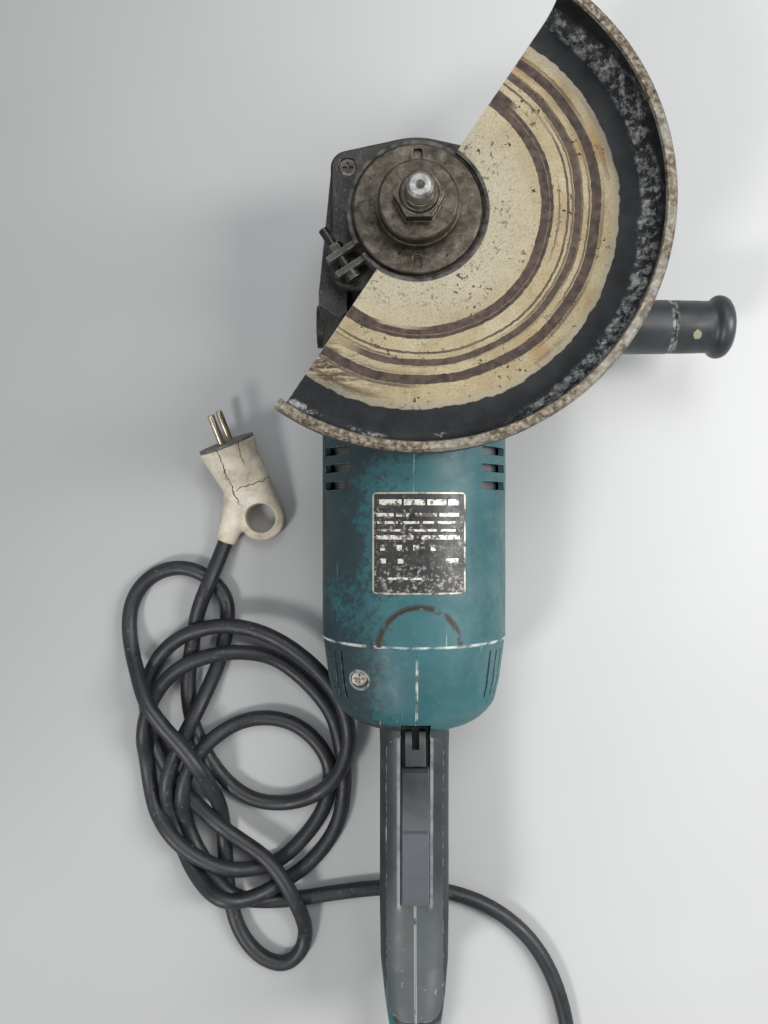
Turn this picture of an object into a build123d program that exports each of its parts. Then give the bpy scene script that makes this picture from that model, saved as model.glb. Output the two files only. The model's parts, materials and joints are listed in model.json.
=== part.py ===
from build123d import *
from math import cos, pi, radians, sin, sqrt, tan
import os

# A 230 mm angle grinder lying on its back, spindle up, with its cord in a loose pile beside it.
# Origin: on the spindle axis, in the flat back face of the gear housing, which lies on the surface.
# +Z runs up out of the spindle, +Y towards the gear head's nose, +X towards the side handle.
# The motor and the rear handle run towards -Y. Millimetres throughout.

os.makedirs("parts", exist_ok=True)

# Motor and housings
MOTOR_RADIUS = 52.0          # outside of the motor housing, and the height of its axis
MOTOR_WALL = 3.2
GEAR_REAR_Y = -66.0          # joint between the gear housing and the motor housing
MOTOR_REAR_Y = -224.0        # joint between the motor housing and the rear handle
HOUSING_SCREW_CIRCLE = 45.5
HOUSING_SCREW_RADIUS = 2.5
SCREW_POST_RADIUS = 3.6

# Gear head
HEAD_RADIUS = 43.0
HEAD_TOP = 84.0
HEAD_FLOOR = 14.0
GEAR_CAVITY_RADIUS = 38.0
BEARING_BOX_TOP = 94.0
NECK_RADIUS = 31.0
NECK_TOP = 105.0
BOX_SCREW_X = 36.0
BOX_SCREW_Y = 27.0
BOX_LOBE_RADIUS = 9.0
BOX_SCREW_HEAD_RADIUS = 4.5
RETAINER_RADIUS = 33.0
RETAINER_TOP = 109.0

# Spindle with its M14 thread
SPINDLE_RADIUS = 8.5
THREAD_RADIUS = 7.0
SPINDLE_FOOT = 9.0
SPINDLE_TOP = 142.0
SPINDLE_END_RADIUS = 6.5      # the plain end above the thread
SPINDLE_JOURNAL_RADIUS = 6.0
SPINDLE_BEARING_RADIUS = 20.0
SPINDLE_BEARING_BOTTOM = 88.0
SPINDLE_BEARING_HEIGHT = 12.0
FLANGE_RADIUS = 21.0
FLANGE_BOTTOM = 110.0
FLANGE_TOP = 116.0
NUT_RADIUS = 20.0
NUT_BOTTOM = 118.0
NUT_DISC_TOP = 123.0
NUT_HEX_TOP = 130.0
NUT_TOP = 132.0
NUT_ACROSS_FLATS = 22.0

# Bevel gears: both cones meet where the motor axis crosses the spindle axis
GEAR_TEETH = 30
PINION_TEETH = 10
GEAR_PITCH_RADIUS = 33.0
FACE_WIDTH = 10.0
ADDENDUM = 1.7
DEDENDUM = 2.1
GEAR_TOOTH_WIDTH = 2.7
PINION_TOOTH_WIDTH = 2.5
PRESSURE_ANGLE = 20.0
GEAR_TOP = 72.0
GEAR_WEB_BOTTOM = 64.0

# Spindle lock
LOCK_CIRCLE = 18.5
LOCK_HOLES = 12
LOCK_PIN_RADIUS = 2.5
LOCK_PIN_TOP = 60.0
LOCK_BUTTON_RADIUS = 6.5
LOCK_BUTTON_BOTTOM = 1.0
LOCK_BUTTON_TOP = 5.0
LOCK_POCKET_TOP = 13.0

# Guard
GUARD_RADIUS = 125.0
GUARD_SHEET = 2.5
GUARD_PLATE_BOTTOM = 105.0
GUARD_RIM_TOP = 131.0
GUARD_LIP = 5.5
GUARD_CORNER_RADIUS = 12.0
GUARD_HOLE_RADIUS = 34.0
GUARD_START_ANGLE = -124.2   # the half disc runs 180 degrees on from here
GUARD_SWEEP = 180.0
COLLAR_RADIUS = 36.0
CLAMP_ANGLE = 213.0
CLAMP_SCREW_PLACE = 45.0     # from the spindle axis
CLAMP_HALF_GAP = 3.0
CLAMP_EAR = 3.0
CLAMP_SCREW_RADIUS = 2.5

# Motor, front to rear
FRONT_BEARING_Y = -47.0
FRONT_BEARING_RADIUS = 17.5
FRONT_JOURNAL_RADIUS = 7.5
FRONT_BEARING_WIDTH = 11.0
REAR_BEARING_Y = -207.0
REAR_BEARING_RADIUS = 14.0
REAR_JOURNAL_RADIUS = 5.0
REAR_BEARING_WIDTH = 10.0
SHAFT_RADIUS = 8.0
PINION_BORE_RADIUS = 5.0
FAN_RADIUS = 41.0
STATOR_FRONT_Y = -100.0
STATOR_REAR_Y = -155.0
STATOR_RADIUS = 47.0
STATOR_BORE_RADIUS = 27.0
ARMATURE_RADIUS = 26.0
COMMUTATOR_RADIUS = 17.0
BRUSH_Y = -188.0

# Side handle
SIDE_HANDLE_Y = -47.6
SIDE_HANDLE_Z = 50.0
SIDE_BOSS_RADIUS = 12.0
SIDE_BOSS_FACE_X = 55.0
SIDE_HOLE_BOTTOM_X = 39.0
SIDE_GRIP_RADIUS = 16.0
SIDE_GRIP_END_X = 182.0
SIDE_SEAM_X = 146.0

# Rear handle: sections across it, as (y, width, lowest z, highest z, corner radius)
HANDLE_SECTIONS = [
    (-250.0, 40.0, 16.0, 82.0, 16.0),
    (-285.0, 38.4, 21.0, 78.0, 15.0),
    (-330.0, 38.6, 26.0, 75.5, 15.0),
    (-372.0, 38.8, 27.0, 75.0, 15.0),
    (-402.0, 37.6, 23.5, 77.5, 14.0),
    (-420.0, 33.0, 18.0, 83.0, 13.0),
    (-433.0, 28.5, 16.5, 86.0, 12.0),
    (-440.0, 23.0, 19.0, 83.0, 10.5),
]
HANDLE_WALL = 4.2
CAP_WALL = 3.5
CAP_FRONT_RADIUS = 51.5
INLAY_DEPTH = 2.0
HALF_GAP = 0.1               # each handle half stops this far from the centre plane
HANDLE_SCREWS = [(-258.0, 30.0), (-350.0, 38.0), (-412.0, 64.0)]
HANDLE_SCREW_RADIUS = 2.0
HANDLE_SCREW_HEAD_RADIUS = 3.8

# Trigger
LEVER_WIDTH = 15.0
LEVER_FRONT_Y = -271.5
LEVER_REAR_Y = -367.0
PIVOT_Y = -361.0
PIVOT_Z = 68.0
PIVOT_RADIUS = 2.5
PIVOT_HALF_LENGTH = 11.0
SLOT_FRONT_Y = -266.5
SLOT_REAR_Y = -368.5
SLOT_SIDE_GAP = 0.5
PLUNGER_Y = -305.0
PLUNGER_RADIUS = 3.5
PLUNGER_BOTTOM = 50.0
PLUNGER_TOP = 65.5
SWITCH_TOP = 58.0

# Cord
CORD_RADIUS = 4.65
STRAIN_RELIEF_Z = 31.0
STRAIN_RELIEF_END_Y = -484.0

# Clearances
RUNNING_GAP = 0.08           # between a turning piece and its bearing surface
BODY_GAP = 0.3               # between pieces that move past each other
SLIDE_GAP = 0.08

MOTOR_AXIS = Axis((0, 0, MOTOR_RADIUS), (0, 1, 0))
SPINDLE_THREAD_BOTTOM = SPINDLE_BEARING_BOTTOM + SPINDLE_BEARING_HEIGHT
PINION_PITCH_RADIUS = GEAR_PITCH_RADIUS * PINION_TEETH / GEAR_TEETH


def level(z):
    """The level plane at height z."""
    return Plane.XY.offset(z)


def across(y):
    """The plane across the motor axis at y, drawn in X and Z and facing the rear."""
    return Plane(origin=(0, y, 0), x_dir=(1, 0, 0), z_dir=(0, -1, 0))


def beside(x):
    """The plane at x, drawn in Y and Z and facing +X."""
    return Plane(origin=(x, 0, 0), x_dir=(0, 1, 0), z_dir=(1, 0, 0))


def motor_radial(angle):
    """The half plane through the motor axis, at an angle from straight up towards +X."""
    turn = radians(angle)
    return Plane(origin=(0, 0, MOTOR_RADIUS), x_dir=(0, 1, 0), z_dir=(cos(turn), 0, -sin(turn)))


def around_motor(radius, angle):
    """The X and Z of a point at a radius from the motor axis, at an angle from straight up."""
    return radius * sin(radians(angle)), MOTOR_RADIUS + radius * cos(radians(angle))


def bar(plane, depth, radius, at=((0, 0),), mode=Mode.ADD):
    """Adds round bars to the part in hand, or cuts them, from the plane along its normal."""
    with BuildSketch(plane) as profile:
        with Locations(*at):
            Circle(radius)
    extrude(profile.sketch, amount=depth, mode=mode)


def block(plane, depth, width, height, at=((0, 0),), corner=0.0, mode=Mode.ADD):
    """Adds rectangular blocks to the part in hand, or cuts them, from the plane along its normal."""
    with BuildSketch(plane) as profile:
        with Locations(*at):
            if corner:
                RectangleRounded(width, height, corner)
            else:
                Rectangle(width, height)
    extrude(profile.sketch, amount=depth, mode=mode)


def hexagon(plane, depth, across_flats, at=((0, 0),), mode=Mode.ADD):
    """Adds a hexagonal prism to the part in hand."""
    with BuildSketch(plane) as profile:
        with Locations(*at):
            RegularPolygon(across_flats / 2, 6, major_radius=False)
    extrude(profile.sketch, amount=depth, mode=mode)


def turned(outline, plane, axis, arc=360.0, mode=Mode.ADD):
    """Adds a solid turned about an axis from a closed outline drawn on the plane."""
    with BuildSketch(plane) as profile:
        with BuildLine():
            Polyline(*outline, close=True)
        make_face()
    revolve(profile.sketch, axis=axis, revolution_arc=arc, mode=mode)


def turned_on_spindle(outline, mode=Mode.ADD):
    """Turns an outline of (radius, z) points about the spindle axis."""
    turned(outline, Plane.XZ, Axis.Z, mode=mode)


def turned_on_motor(outline, mode=Mode.ADD, angle=0.0, arc=360.0):
    """Turns an outline of (y, radius) points about the motor axis."""
    turned(outline, motor_radial(angle), MOTOR_AXIS, arc=arc, mode=mode)


def motor_ring(front_y, rear_y, inner, outer, mode=Mode.ADD, angle=0.0, arc=360.0):
    """A ring about the motor axis, or a sector of one."""
    outline = [(front_y, inner), (front_y, outer), (rear_y, outer), (rear_y, inner)]
    turned_on_motor(outline, mode=mode, angle=angle, arc=arc)


def spindle_ring(bottom, top, inner, outer, mode=Mode.ADD):
    """A ring about the spindle axis."""
    turned_on_spindle([(inner, bottom), (outer, bottom), (outer, top), (inner, top)], mode=mode)


def finish(builder, name):
    """Labels a finished piece and writes it."""
    builder.part.label = name
    export_step(builder.part, f"parts/{name}.step")


def box_outline(lobe_radius):
    """The bearing box's outline: a round body with four screw lobes."""
    with BuildSketch(level(HEAD_TOP)) as outline:
        Circle(HEAD_RADIUS)
        with Locations(*box_screws):
            Circle(lobe_radius)
        make_hull()
    return outline.sketch


box_screws = [(x, y) for x in (-BOX_SCREW_X, BOX_SCREW_X) for y in (-BOX_SCREW_Y, BOX_SCREW_Y)]
housing_screws_at = [around_motor(HOUSING_SCREW_CIRCLE, angle) for angle in (45, 135, 225, 315)]
side_bosses = [(SIDE_HANDLE_Y, SIDE_HANDLE_Z)]
lock_at = [(0, LOCK_CIRCLE)]

# ---------------------------------------------------------------- gear housing
REAR_LOBE = 9.5
CONE_FRONT_Y = -37.5
CONE_REAR_Y = -50.0
HOUSING_SCREW_SEAT_Y = -54.0
HOUSING_SCREW_TIP_Y = -84.0
HOUSING_SCREW_HEAD_RADIUS = 4.4
HOUSING_SCREW_HEAD_LENGTH = 4.0
BUSH_RADIUS = 11.0
BUSH_BOTTOM = 8.0
BUSH_TOP = 22.0
LOCK_POST_TOP = 46.0

with BuildPart() as gear_housing:
    with BuildSketch(level(0)):
        Circle(HEAD_RADIUS)
        with Locations(*box_screws):
            Circle(BOX_LOBE_RADIUS + 0.5)
        with Locations(
            (MOTOR_RADIUS - REAR_LOBE, CONE_FRONT_Y),
            (REAR_LOBE - MOTOR_RADIUS, CONE_FRONT_Y),
            (MOTOR_RADIUS - REAR_LOBE, GEAR_REAR_Y + REAR_LOBE),
            (REAR_LOBE - MOTOR_RADIUS, GEAR_REAR_Y + REAR_LOBE),
        ):
            Circle(REAR_LOBE)
        make_hull()
    extrude(amount=HEAD_TOP)
    fillet(gear_housing.faces().sort_by(Axis.Z)[0].edges(), radius=9)
    turned_on_motor(
        [(-90, 0), (-90, MOTOR_RADIUS), (CONE_REAR_Y, MOTOR_RADIUS), (-28, 78), (70, 90), (70, 0)],
        mode=Mode.INTERSECT,
    )
    turned_on_motor(
        [
            (GEAR_REAR_Y, 0),
            (GEAR_REAR_Y, MOTOR_RADIUS),
            (CONE_REAR_Y, MOTOR_RADIUS),
            (CONE_FRONT_Y, BEARING_BOX_TOP - MOTOR_RADIUS),
            (CONE_FRONT_Y, 0),
        ]
    )
    extrude(box_outline(BOX_LOBE_RADIUS), amount=MOTOR_RADIUS, mode=Mode.SUBTRACT)
    bar(beside(SIDE_HOLE_BOTTOM_X), SIDE_BOSS_FACE_X - SIDE_HOLE_BOTTOM_X, SIDE_BOSS_RADIUS, side_bosses)
    bar(beside(-SIDE_BOSS_FACE_X), SIDE_BOSS_FACE_X - SIDE_HOLE_BOTTOM_X, SIDE_BOSS_RADIUS, side_bosses)
    bar(level(HEAD_FLOOR), HEAD_TOP, GEAR_CAVITY_RADIUS, mode=Mode.SUBTRACT)
    bar(level(HEAD_FLOOR), BUSH_TOP - HEAD_FLOOR, BUSH_RADIUS + 6)
    bar(level(HEAD_FLOOR), LOCK_POST_TOP - HEAD_FLOOR, 8, lock_at)
    bar(level(BUSH_BOTTOM), HEAD_TOP, BUSH_RADIUS, mode=Mode.SUBTRACT)
    bar(level(0), LOCK_POCKET_TOP, LOCK_BUTTON_RADIUS + BODY_GAP, lock_at, mode=Mode.SUBTRACT)
    bar(level(0), HEAD_TOP, LOCK_PIN_RADIUS + SLIDE_GAP, lock_at, mode=Mode.SUBTRACT)
    bar(across(-30), 40, 14, [(0, MOTOR_RADIUS)], mode=Mode.SUBTRACT)
    bar(across(FRONT_BEARING_Y), 20, FRONT_BEARING_RADIUS, [(0, MOTOR_RADIUS)], mode=Mode.SUBTRACT)
    motor_ring(-50, -70, 22, 36, mode=Mode.SUBTRACT)
    bar(level(HEAD_TOP - 22), 30, HOUSING_SCREW_RADIUS, box_screws, mode=Mode.SUBTRACT)
    bar(across(-50), 20, HOUSING_SCREW_RADIUS, housing_screws_at, mode=Mode.SUBTRACT)
    bar(
        across(-34),
        -34 - HOUSING_SCREW_SEAT_Y,
        HOUSING_SCREW_HEAD_RADIUS + 0.4,
        housing_screws_at,
        mode=Mode.SUBTRACT,
    )
    bar(beside(SIDE_HOLE_BOTTOM_X), 20, THREAD_RADIUS, side_bosses, mode=Mode.SUBTRACT)
    bar(beside(-SIDE_HOLE_BOTTOM_X - 20), 20, THREAD_RADIUS, side_bosses, mode=Mode.SUBTRACT)
finish(gear_housing, "gear_housing")

with BuildPart() as housing_screws:
    bar(
        across(HOUSING_SCREW_SEAT_Y + HOUSING_SCREW_HEAD_LENGTH),
        HOUSING_SCREW_HEAD_LENGTH,
        HOUSING_SCREW_HEAD_RADIUS,
        housing_screws_at,
    )
    bar(
        across(HOUSING_SCREW_SEAT_Y),
        HOUSING_SCREW_SEAT_Y - HOUSING_SCREW_TIP_Y,
        HOUSING_SCREW_RADIUS,
        housing_screws_at,
    )
finish(housing_screws, "housing_screws")

# ---------------------------------------------------------------- bearing box
BOX_SCREW_SEAT = 89.5

with BuildPart() as bearing_box:
    extrude(box_outline(BOX_LOBE_RADIUS), amount=BEARING_BOX_TOP - HEAD_TOP)
    chamfer(bearing_box.faces().sort_by(Axis.Z)[-1].edges(), length=1.2)
    bar(level(HEAD_TOP), NECK_TOP - HEAD_TOP, NECK_RADIUS)
    bar(level(HEAD_TOP), 30, 14, mode=Mode.SUBTRACT)
    bar(level(SPINDLE_BEARING_BOTTOM), 30, SPINDLE_BEARING_RADIUS, mode=Mode.SUBTRACT)
    bar(level(HEAD_TOP), 30, HOUSING_SCREW_RADIUS, box_screws, mode=Mode.SUBTRACT)
    bar(level(BOX_SCREW_SEAT), 30, BOX_SCREW_HEAD_RADIUS + 0.4, box_screws, mode=Mode.SUBTRACT)
finish(bearing_box, "bearing_box")

with BuildPart() as bearing_box_screws:
    bar(level(HEAD_TOP - 20), BOX_SCREW_SEAT - HEAD_TOP + 20, HOUSING_SCREW_RADIUS, box_screws)
    bar(level(BOX_SCREW_SEAT), 4, BOX_SCREW_HEAD_RADIUS, box_screws)
    block(level(BOX_SCREW_SEAT + 2.8), 2, 5.5, 1.0, box_screws, mode=Mode.SUBTRACT)
    block(level(BOX_SCREW_SEAT + 2.8), 2, 1.0, 5.5, box_screws, mode=Mode.SUBTRACT)
finish(bearing_box_screws, "bearing_box_screws")

RETAINER_BORE = 13.0

with BuildPart() as bearing_retainer:
    spindle_ring(SPINDLE_THREAD_BOTTOM, NECK_TOP, RETAINER_BORE, SPINDLE_BEARING_RADIUS)
    spindle_ring(NECK_TOP, RETAINER_TOP, RETAINER_BORE, RETAINER_RADIUS)
    chamfer(bearing_retainer.edges().sort_by(Axis.Z)[-2:], length=0.8)
    block(level(RETAINER_TOP - 2), 4, 5, 7, [(0, 27), (0, -27)], corner=1.5, mode=Mode.SUBTRACT)
finish(bearing_retainer, "bearing_retainer")

# ---------------------------------------------------------------- spindle and what turns with it
RACE_INNER = 14.0
RACE_OUTER = RACE_INNER + RUNNING_GAP

with BuildPart() as spindle_bearing_outer:
    spindle_ring(SPINDLE_BEARING_BOTTOM, SPINDLE_THREAD_BOTTOM, RACE_OUTER, SPINDLE_BEARING_RADIUS)
finish(spindle_bearing_outer, "spindle_bearing_outer")

with BuildPart() as spindle_bearing_inner:
    spindle_ring(SPINDLE_BEARING_BOTTOM, SPINDLE_THREAD_BOTTOM, SPINDLE_RADIUS, RACE_INNER)
    chamfer(spindle_bearing_inner.edges(), length=0.5)
finish(spindle_bearing_inner, "spindle_bearing_inner")

with BuildPart() as spindle_bush:
    spindle_ring(BUSH_BOTTOM, BUSH_TOP, SPINDLE_JOURNAL_RADIUS + RUNNING_GAP, BUSH_RADIUS)
finish(spindle_bush, "spindle_bush")

TIP_CHAMFER = 1.5

with BuildPart() as spindle:
    turned_on_spindle(
        [
            (0, SPINDLE_FOOT),
            (SPINDLE_JOURNAL_RADIUS, SPINDLE_FOOT),
            (SPINDLE_JOURNAL_RADIUS, BUSH_TOP + 1),
            (SPINDLE_RADIUS, BUSH_TOP + 3),
            (SPINDLE_RADIUS, SPINDLE_THREAD_BOTTOM + 2),
            (THREAD_RADIUS, SPINDLE_THREAD_BOTTOM + 2),
            (THREAD_RADIUS, NUT_TOP),
            (SPINDLE_END_RADIUS, NUT_TOP),
            (SPINDLE_END_RADIUS, SPINDLE_TOP - TIP_CHAMFER),
            (SPINDLE_END_RADIUS - TIP_CHAMFER, SPINDLE_TOP),
            (2.2, SPINDLE_TOP),
            (0, SPINDLE_TOP - 3.5),
        ]
    )
finish(spindle, "spindle")

HUB_RADIUS = 11.5

with BuildPart() as inner_flange:
    spindle_ring(SPINDLE_THREAD_BOTTOM + 2, FLANGE_BOTTOM, THREAD_RADIUS, HUB_RADIUS)
    spindle_ring(FLANGE_BOTTOM, FLANGE_TOP, THREAD_RADIUS, FLANGE_RADIUS)
    spindle_ring(FLANGE_TOP - 0.8, FLANGE_TOP, HUB_RADIUS, FLANGE_RADIUS - 5, mode=Mode.SUBTRACT)
    block(level(FLANGE_BOTTOM), 3, 4, 12, [(FLANGE_RADIUS, 0), (-FLANGE_RADIUS, 0)], mode=Mode.SUBTRACT)
finish(inner_flange, "inner_flange")

with BuildPart() as lock_nut:
    spindle_ring(NUT_BOTTOM, NUT_DISC_TOP, THREAD_RADIUS, NUT_RADIUS)
    chamfer(lock_nut.edges().sort_by(Axis.Z)[-1], length=1.0)
    hexagon(level(NUT_DISC_TOP), NUT_HEX_TOP - NUT_DISC_TOP, NUT_ACROSS_FLATS)
    turned_on_spindle([(0, NUT_HEX_TOP), (10, NUT_HEX_TOP), (9, NUT_TOP), (0, NUT_TOP)])
    bar(level(NUT_BOTTOM), 30, THREAD_RADIUS, mode=Mode.SUBTRACT)
finish(lock_nut, "lock_nut")


def cone_tooth(near_y, far_y, outline):
    """A tooth that tapers to the crossing of both axes.

    The outline is its section at the gears' outer ends, as (x, z above the motor axis) points.
    """
    with BuildPart() as tooth:
        sections = []
        for y in (near_y, far_y):
            scale = -y / GEAR_PITCH_RADIUS
            with BuildSketch(across(y)) as section:
                with BuildLine():
                    Polyline(*[(x * scale, MOTOR_RADIUS + z * scale) for x, z in outline], close=True)
                make_face()
            sections.append(section.sketch)
        loft(sections)
    return tooth.part


TEETH_INNER_Y = -(GEAR_PITCH_RADIUS - FACE_WIDTH)
TEETH_OUTER_Y = -GEAR_PITCH_RADIUS
FLANK = tan(radians(PRESSURE_ANGLE))
ROOT_OVERLAP = 0.3
gear_root = PINION_PITCH_RADIUS + DEDENDUM
gear_tip_half = GEAR_TOOTH_WIDTH / 2 - ADDENDUM * FLANK
gear_root_half = GEAR_TOOTH_WIDTH / 2 + (DEDENDUM + ROOT_OVERLAP) * FLANK
pinion_root = PINION_PITCH_RADIUS - DEDENDUM
gear_tooth = cone_tooth(
    TEETH_INNER_Y,
    TEETH_OUTER_Y,
    [
        (-gear_tip_half, PINION_PITCH_RADIUS - ADDENDUM),
        (gear_tip_half, PINION_PITCH_RADIUS - ADDENDUM),
        (gear_root_half, gear_root + ROOT_OVERLAP),
        (-gear_root_half, gear_root + ROOT_OVERLAP),
    ],
)
pinion_tooth = cone_tooth(
    TEETH_INNER_Y,
    TEETH_OUTER_Y,
    [
        (-PINION_TOOTH_WIDTH * 0.2, PINION_PITCH_RADIUS + ADDENDUM),
        (PINION_TOOTH_WIDTH * 0.2, PINION_PITCH_RADIUS + ADDENDUM),
        (PINION_TOOTH_WIDTH * 0.5, PINION_PITCH_RADIUS),
        (PINION_TOOTH_WIDTH * 0.6, pinion_root - ROOT_OVERLAP),
        (-PINION_TOOTH_WIDTH * 0.6, pinion_root - ROOT_OVERLAP),
        (-PINION_TOOTH_WIDTH * 0.5, PINION_PITCH_RADIUS),
    ],
)

GEAR_HUB_RADIUS = 12.5
GEAR_HUB_BOTTOM = 57.0
GEAR_RING_INNER = 22.0


def gear_root_z(radius):
    """The height of the gear's tooth roots at a radius from the spindle axis."""
    return MOTOR_RADIUS + gear_root * radius / GEAR_PITCH_RADIUS


with BuildPart() as bevel_gear:
    turned_on_spindle(
        [
            (SPINDLE_RADIUS, GEAR_HUB_BOTTOM),
            (GEAR_HUB_RADIUS, GEAR_HUB_BOTTOM),
            (GEAR_HUB_RADIUS, GEAR_WEB_BOTTOM),
            (GEAR_RING_INNER, GEAR_WEB_BOTTOM),
            (GEAR_RING_INNER, gear_root_z(GEAR_RING_INNER)),
            (GEAR_PITCH_RADIUS, gear_root_z(GEAR_PITCH_RADIUS)),
            (GEAR_PITCH_RADIUS, GEAR_TOP),
            (SPINDLE_RADIUS, GEAR_TOP),
        ]
    )
    add([gear_tooth.rotate(Axis.Z, 360 * (step + 0.5) / GEAR_TEETH) for step in range(GEAR_TEETH)])
    with BuildSketch(level(GEAR_WEB_BOTTOM)):
        with PolarLocations(LOCK_CIRCLE, LOCK_HOLES, start_angle=90):
            Circle(LOCK_PIN_RADIUS + 0.4)
    extrude(amount=GEAR_TOP, mode=Mode.SUBTRACT)
finish(bevel_gear, "bevel_gear")

# ---------------------------------------------------------------- armature: all that the motor turns
PINION_HUB_RADIUS = 8.5
PINION_HUB_END_Y = -44.0
SHAFT_FRONT_Y = -16.5
PINION_NUT_FRONT_Y = -17.5
PINION_NUT_REAR_Y = TEETH_INNER_Y + 0.2

with BuildPart() as pinion:
    turned_on_motor(
        [
            (TEETH_INNER_Y, PINION_BORE_RADIUS),
            (TEETH_INNER_Y, -pinion_root * TEETH_INNER_Y / GEAR_PITCH_RADIUS),
            (TEETH_OUTER_Y, pinion_root),
            (TEETH_OUTER_Y, PINION_HUB_RADIUS),
            (PINION_HUB_END_Y, PINION_HUB_RADIUS),
            (PINION_HUB_END_Y, PINION_BORE_RADIUS),
        ]
    )
    add([pinion_tooth.rotate(MOTOR_AXIS, 360 * step / PINION_TEETH) for step in range(PINION_TEETH)])
finish(pinion, "pinion")

with BuildPart() as pinion_nut:
    hexagon(across(PINION_NUT_FRONT_Y), PINION_NUT_FRONT_Y - PINION_NUT_REAR_Y, 10, [(0, MOTOR_RADIUS)])
    bar(across(0), 40, PINION_BORE_RADIUS - 1, [(0, MOTOR_RADIUS)], mode=Mode.SUBTRACT)
finish(pinion_nut, "pinion_nut")

REAR_BEARING_END_Y = REAR_BEARING_Y - REAR_BEARING_WIDTH
FRONT_BEARING_END_Y = FRONT_BEARING_Y - FRONT_BEARING_WIDTH

with BuildPart() as armature_shaft:
    turned_on_motor(
        [
            (SHAFT_FRONT_Y, 0),
            (SHAFT_FRONT_Y, PINION_BORE_RADIUS - 1),
            (TEETH_INNER_Y, PINION_BORE_RADIUS - 1),
            (TEETH_INNER_Y, PINION_BORE_RADIUS),
            (PINION_HUB_END_Y, PINION_BORE_RADIUS),
            (PINION_HUB_END_Y, FRONT_JOURNAL_RADIUS),
            (FRONT_BEARING_END_Y, FRONT_JOURNAL_RADIUS),
            (FRONT_BEARING_END_Y, SHAFT_RADIUS),
            (REAR_BEARING_Y, SHAFT_RADIUS),
            (REAR_BEARING_Y, REAR_JOURNAL_RADIUS),
            (REAR_BEARING_END_Y, REAR_JOURNAL_RADIUS),
            (REAR_BEARING_END_Y, 0),
        ]
    )
finish(armature_shaft, "armature_shaft")

FRONT_RACE = 11.5
REAR_RACE = 8.5

with BuildPart() as front_bearing_inner:
    motor_ring(FRONT_BEARING_Y, FRONT_BEARING_END_Y, FRONT_JOURNAL_RADIUS, FRONT_RACE)
finish(front_bearing_inner, "front_bearing_inner")

with BuildPart() as front_bearing_outer:
    motor_ring(FRONT_BEARING_Y, FRONT_BEARING_END_Y, FRONT_RACE + RUNNING_GAP, FRONT_BEARING_RADIUS)
finish(front_bearing_outer, "front_bearing_outer")

with BuildPart() as rear_bearing_inner:
    motor_ring(REAR_BEARING_Y, REAR_BEARING_END_Y, REAR_JOURNAL_RADIUS, REAR_RACE)
finish(rear_bearing_inner, "rear_bearing_inner")

with BuildPart() as rear_bearing_outer:
    motor_ring(REAR_BEARING_Y, REAR_BEARING_END_Y, REAR_RACE + RUNNING_GAP, REAR_BEARING_RADIUS)
finish(rear_bearing_outer, "rear_bearing_outer")

FAN_FRONT_Y = -72.0
FAN_PLATE_Y = -87.0
FAN_REAR_Y = -90.0
FAN_BLADES = 12
FAN_HUB_RADIUS = 14.0

with BuildPart() as fan:
    motor_ring(FAN_FRONT_Y, FAN_REAR_Y, SHAFT_RADIUS, FAN_HUB_RADIUS)
    motor_ring(FAN_PLATE_Y, FAN_REAR_Y, SHAFT_RADIUS, FAN_RADIUS)
    for step in range(FAN_BLADES):
        angle = 360 * step / FAN_BLADES
        outward = Plane(
            origin=(0, 0, MOTOR_RADIUS), x_dir=(0, 1, 0), z_dir=(sin(radians(angle)), 0, cos(radians(angle)))
        )
        block(
            outward.offset(FAN_HUB_RADIUS - 1),
            FAN_RADIUS - FAN_HUB_RADIUS - 0.5,
            FAN_FRONT_Y - 2 - FAN_REAR_Y,
            2,
            [((FAN_FRONT_Y - 2 + FAN_REAR_Y) / 2, 0)],
        )
finish(fan, "fan")

ARMATURE_SLOTS = 12
ARMATURE_SLOT_WIDTH = 3.0
ARMATURE_SLOT_DEPTH = 9.0

with BuildPart() as armature_core:
    motor_ring(STATOR_FRONT_Y - 2, STATOR_REAR_Y + 2, SHAFT_RADIUS, ARMATURE_RADIUS)
    for step in range(ARMATURE_SLOTS):
        spot = radians(360 * step / ARMATURE_SLOTS)
        outward = Plane(origin=(0, 0, MOTOR_RADIUS), x_dir=(0, 1, 0), z_dir=(sin(spot), 0, cos(spot)))
        block(
            outward.offset(ARMATURE_RADIUS - ARMATURE_SLOT_DEPTH),
            ARMATURE_SLOT_DEPTH + 1,
            80,
            ARMATURE_SLOT_WIDTH,
            [((STATOR_FRONT_Y + STATOR_REAR_Y) / 2, 0)],
            mode=Mode.SUBTRACT,
        )
finish(armature_core, "armature_core")

with BuildPart() as armature_windings:
    motor_ring(STATOR_FRONT_Y + 8, STATOR_FRONT_Y - 2, SHAFT_RADIUS, ARMATURE_RADIUS - 3)
    motor_ring(STATOR_REAR_Y + 2, STATOR_REAR_Y - 11, SHAFT_RADIUS, ARMATURE_RADIUS - 3)
    fillet(armature_windings.edges().filter_by(GeomType.CIRCLE).sort_by(Axis.Y)[-1:], radius=2)
finish(armature_windings, "armature_windings")

COMMUTATOR_FRONT_Y = -176.0
COMMUTATOR_REAR_Y = -200.0
COMMUTATOR_BARS = 24

with BuildPart() as commutator:
    motor_ring(COMMUTATOR_FRONT_Y, COMMUTATOR_REAR_Y, SHAFT_RADIUS, COMMUTATOR_RADIUS)
    for step in range(COMMUTATOR_BARS):
        spot = radians(360 * (step + 0.5) / COMMUTATOR_BARS)
        outward = Plane(origin=(0, 0, MOTOR_RADIUS), x_dir=(0, 1, 0), z_dir=(sin(spot), 0, cos(spot)))
        block(
            outward.offset(COMMUTATOR_RADIUS - 1),
            2,
            40,
            0.7,
            [((COMMUTATOR_FRONT_Y + COMMUTATOR_REAR_Y) / 2, 0)],
            mode=Mode.SUBTRACT,
        )
finish(commutator, "commutator")

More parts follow.
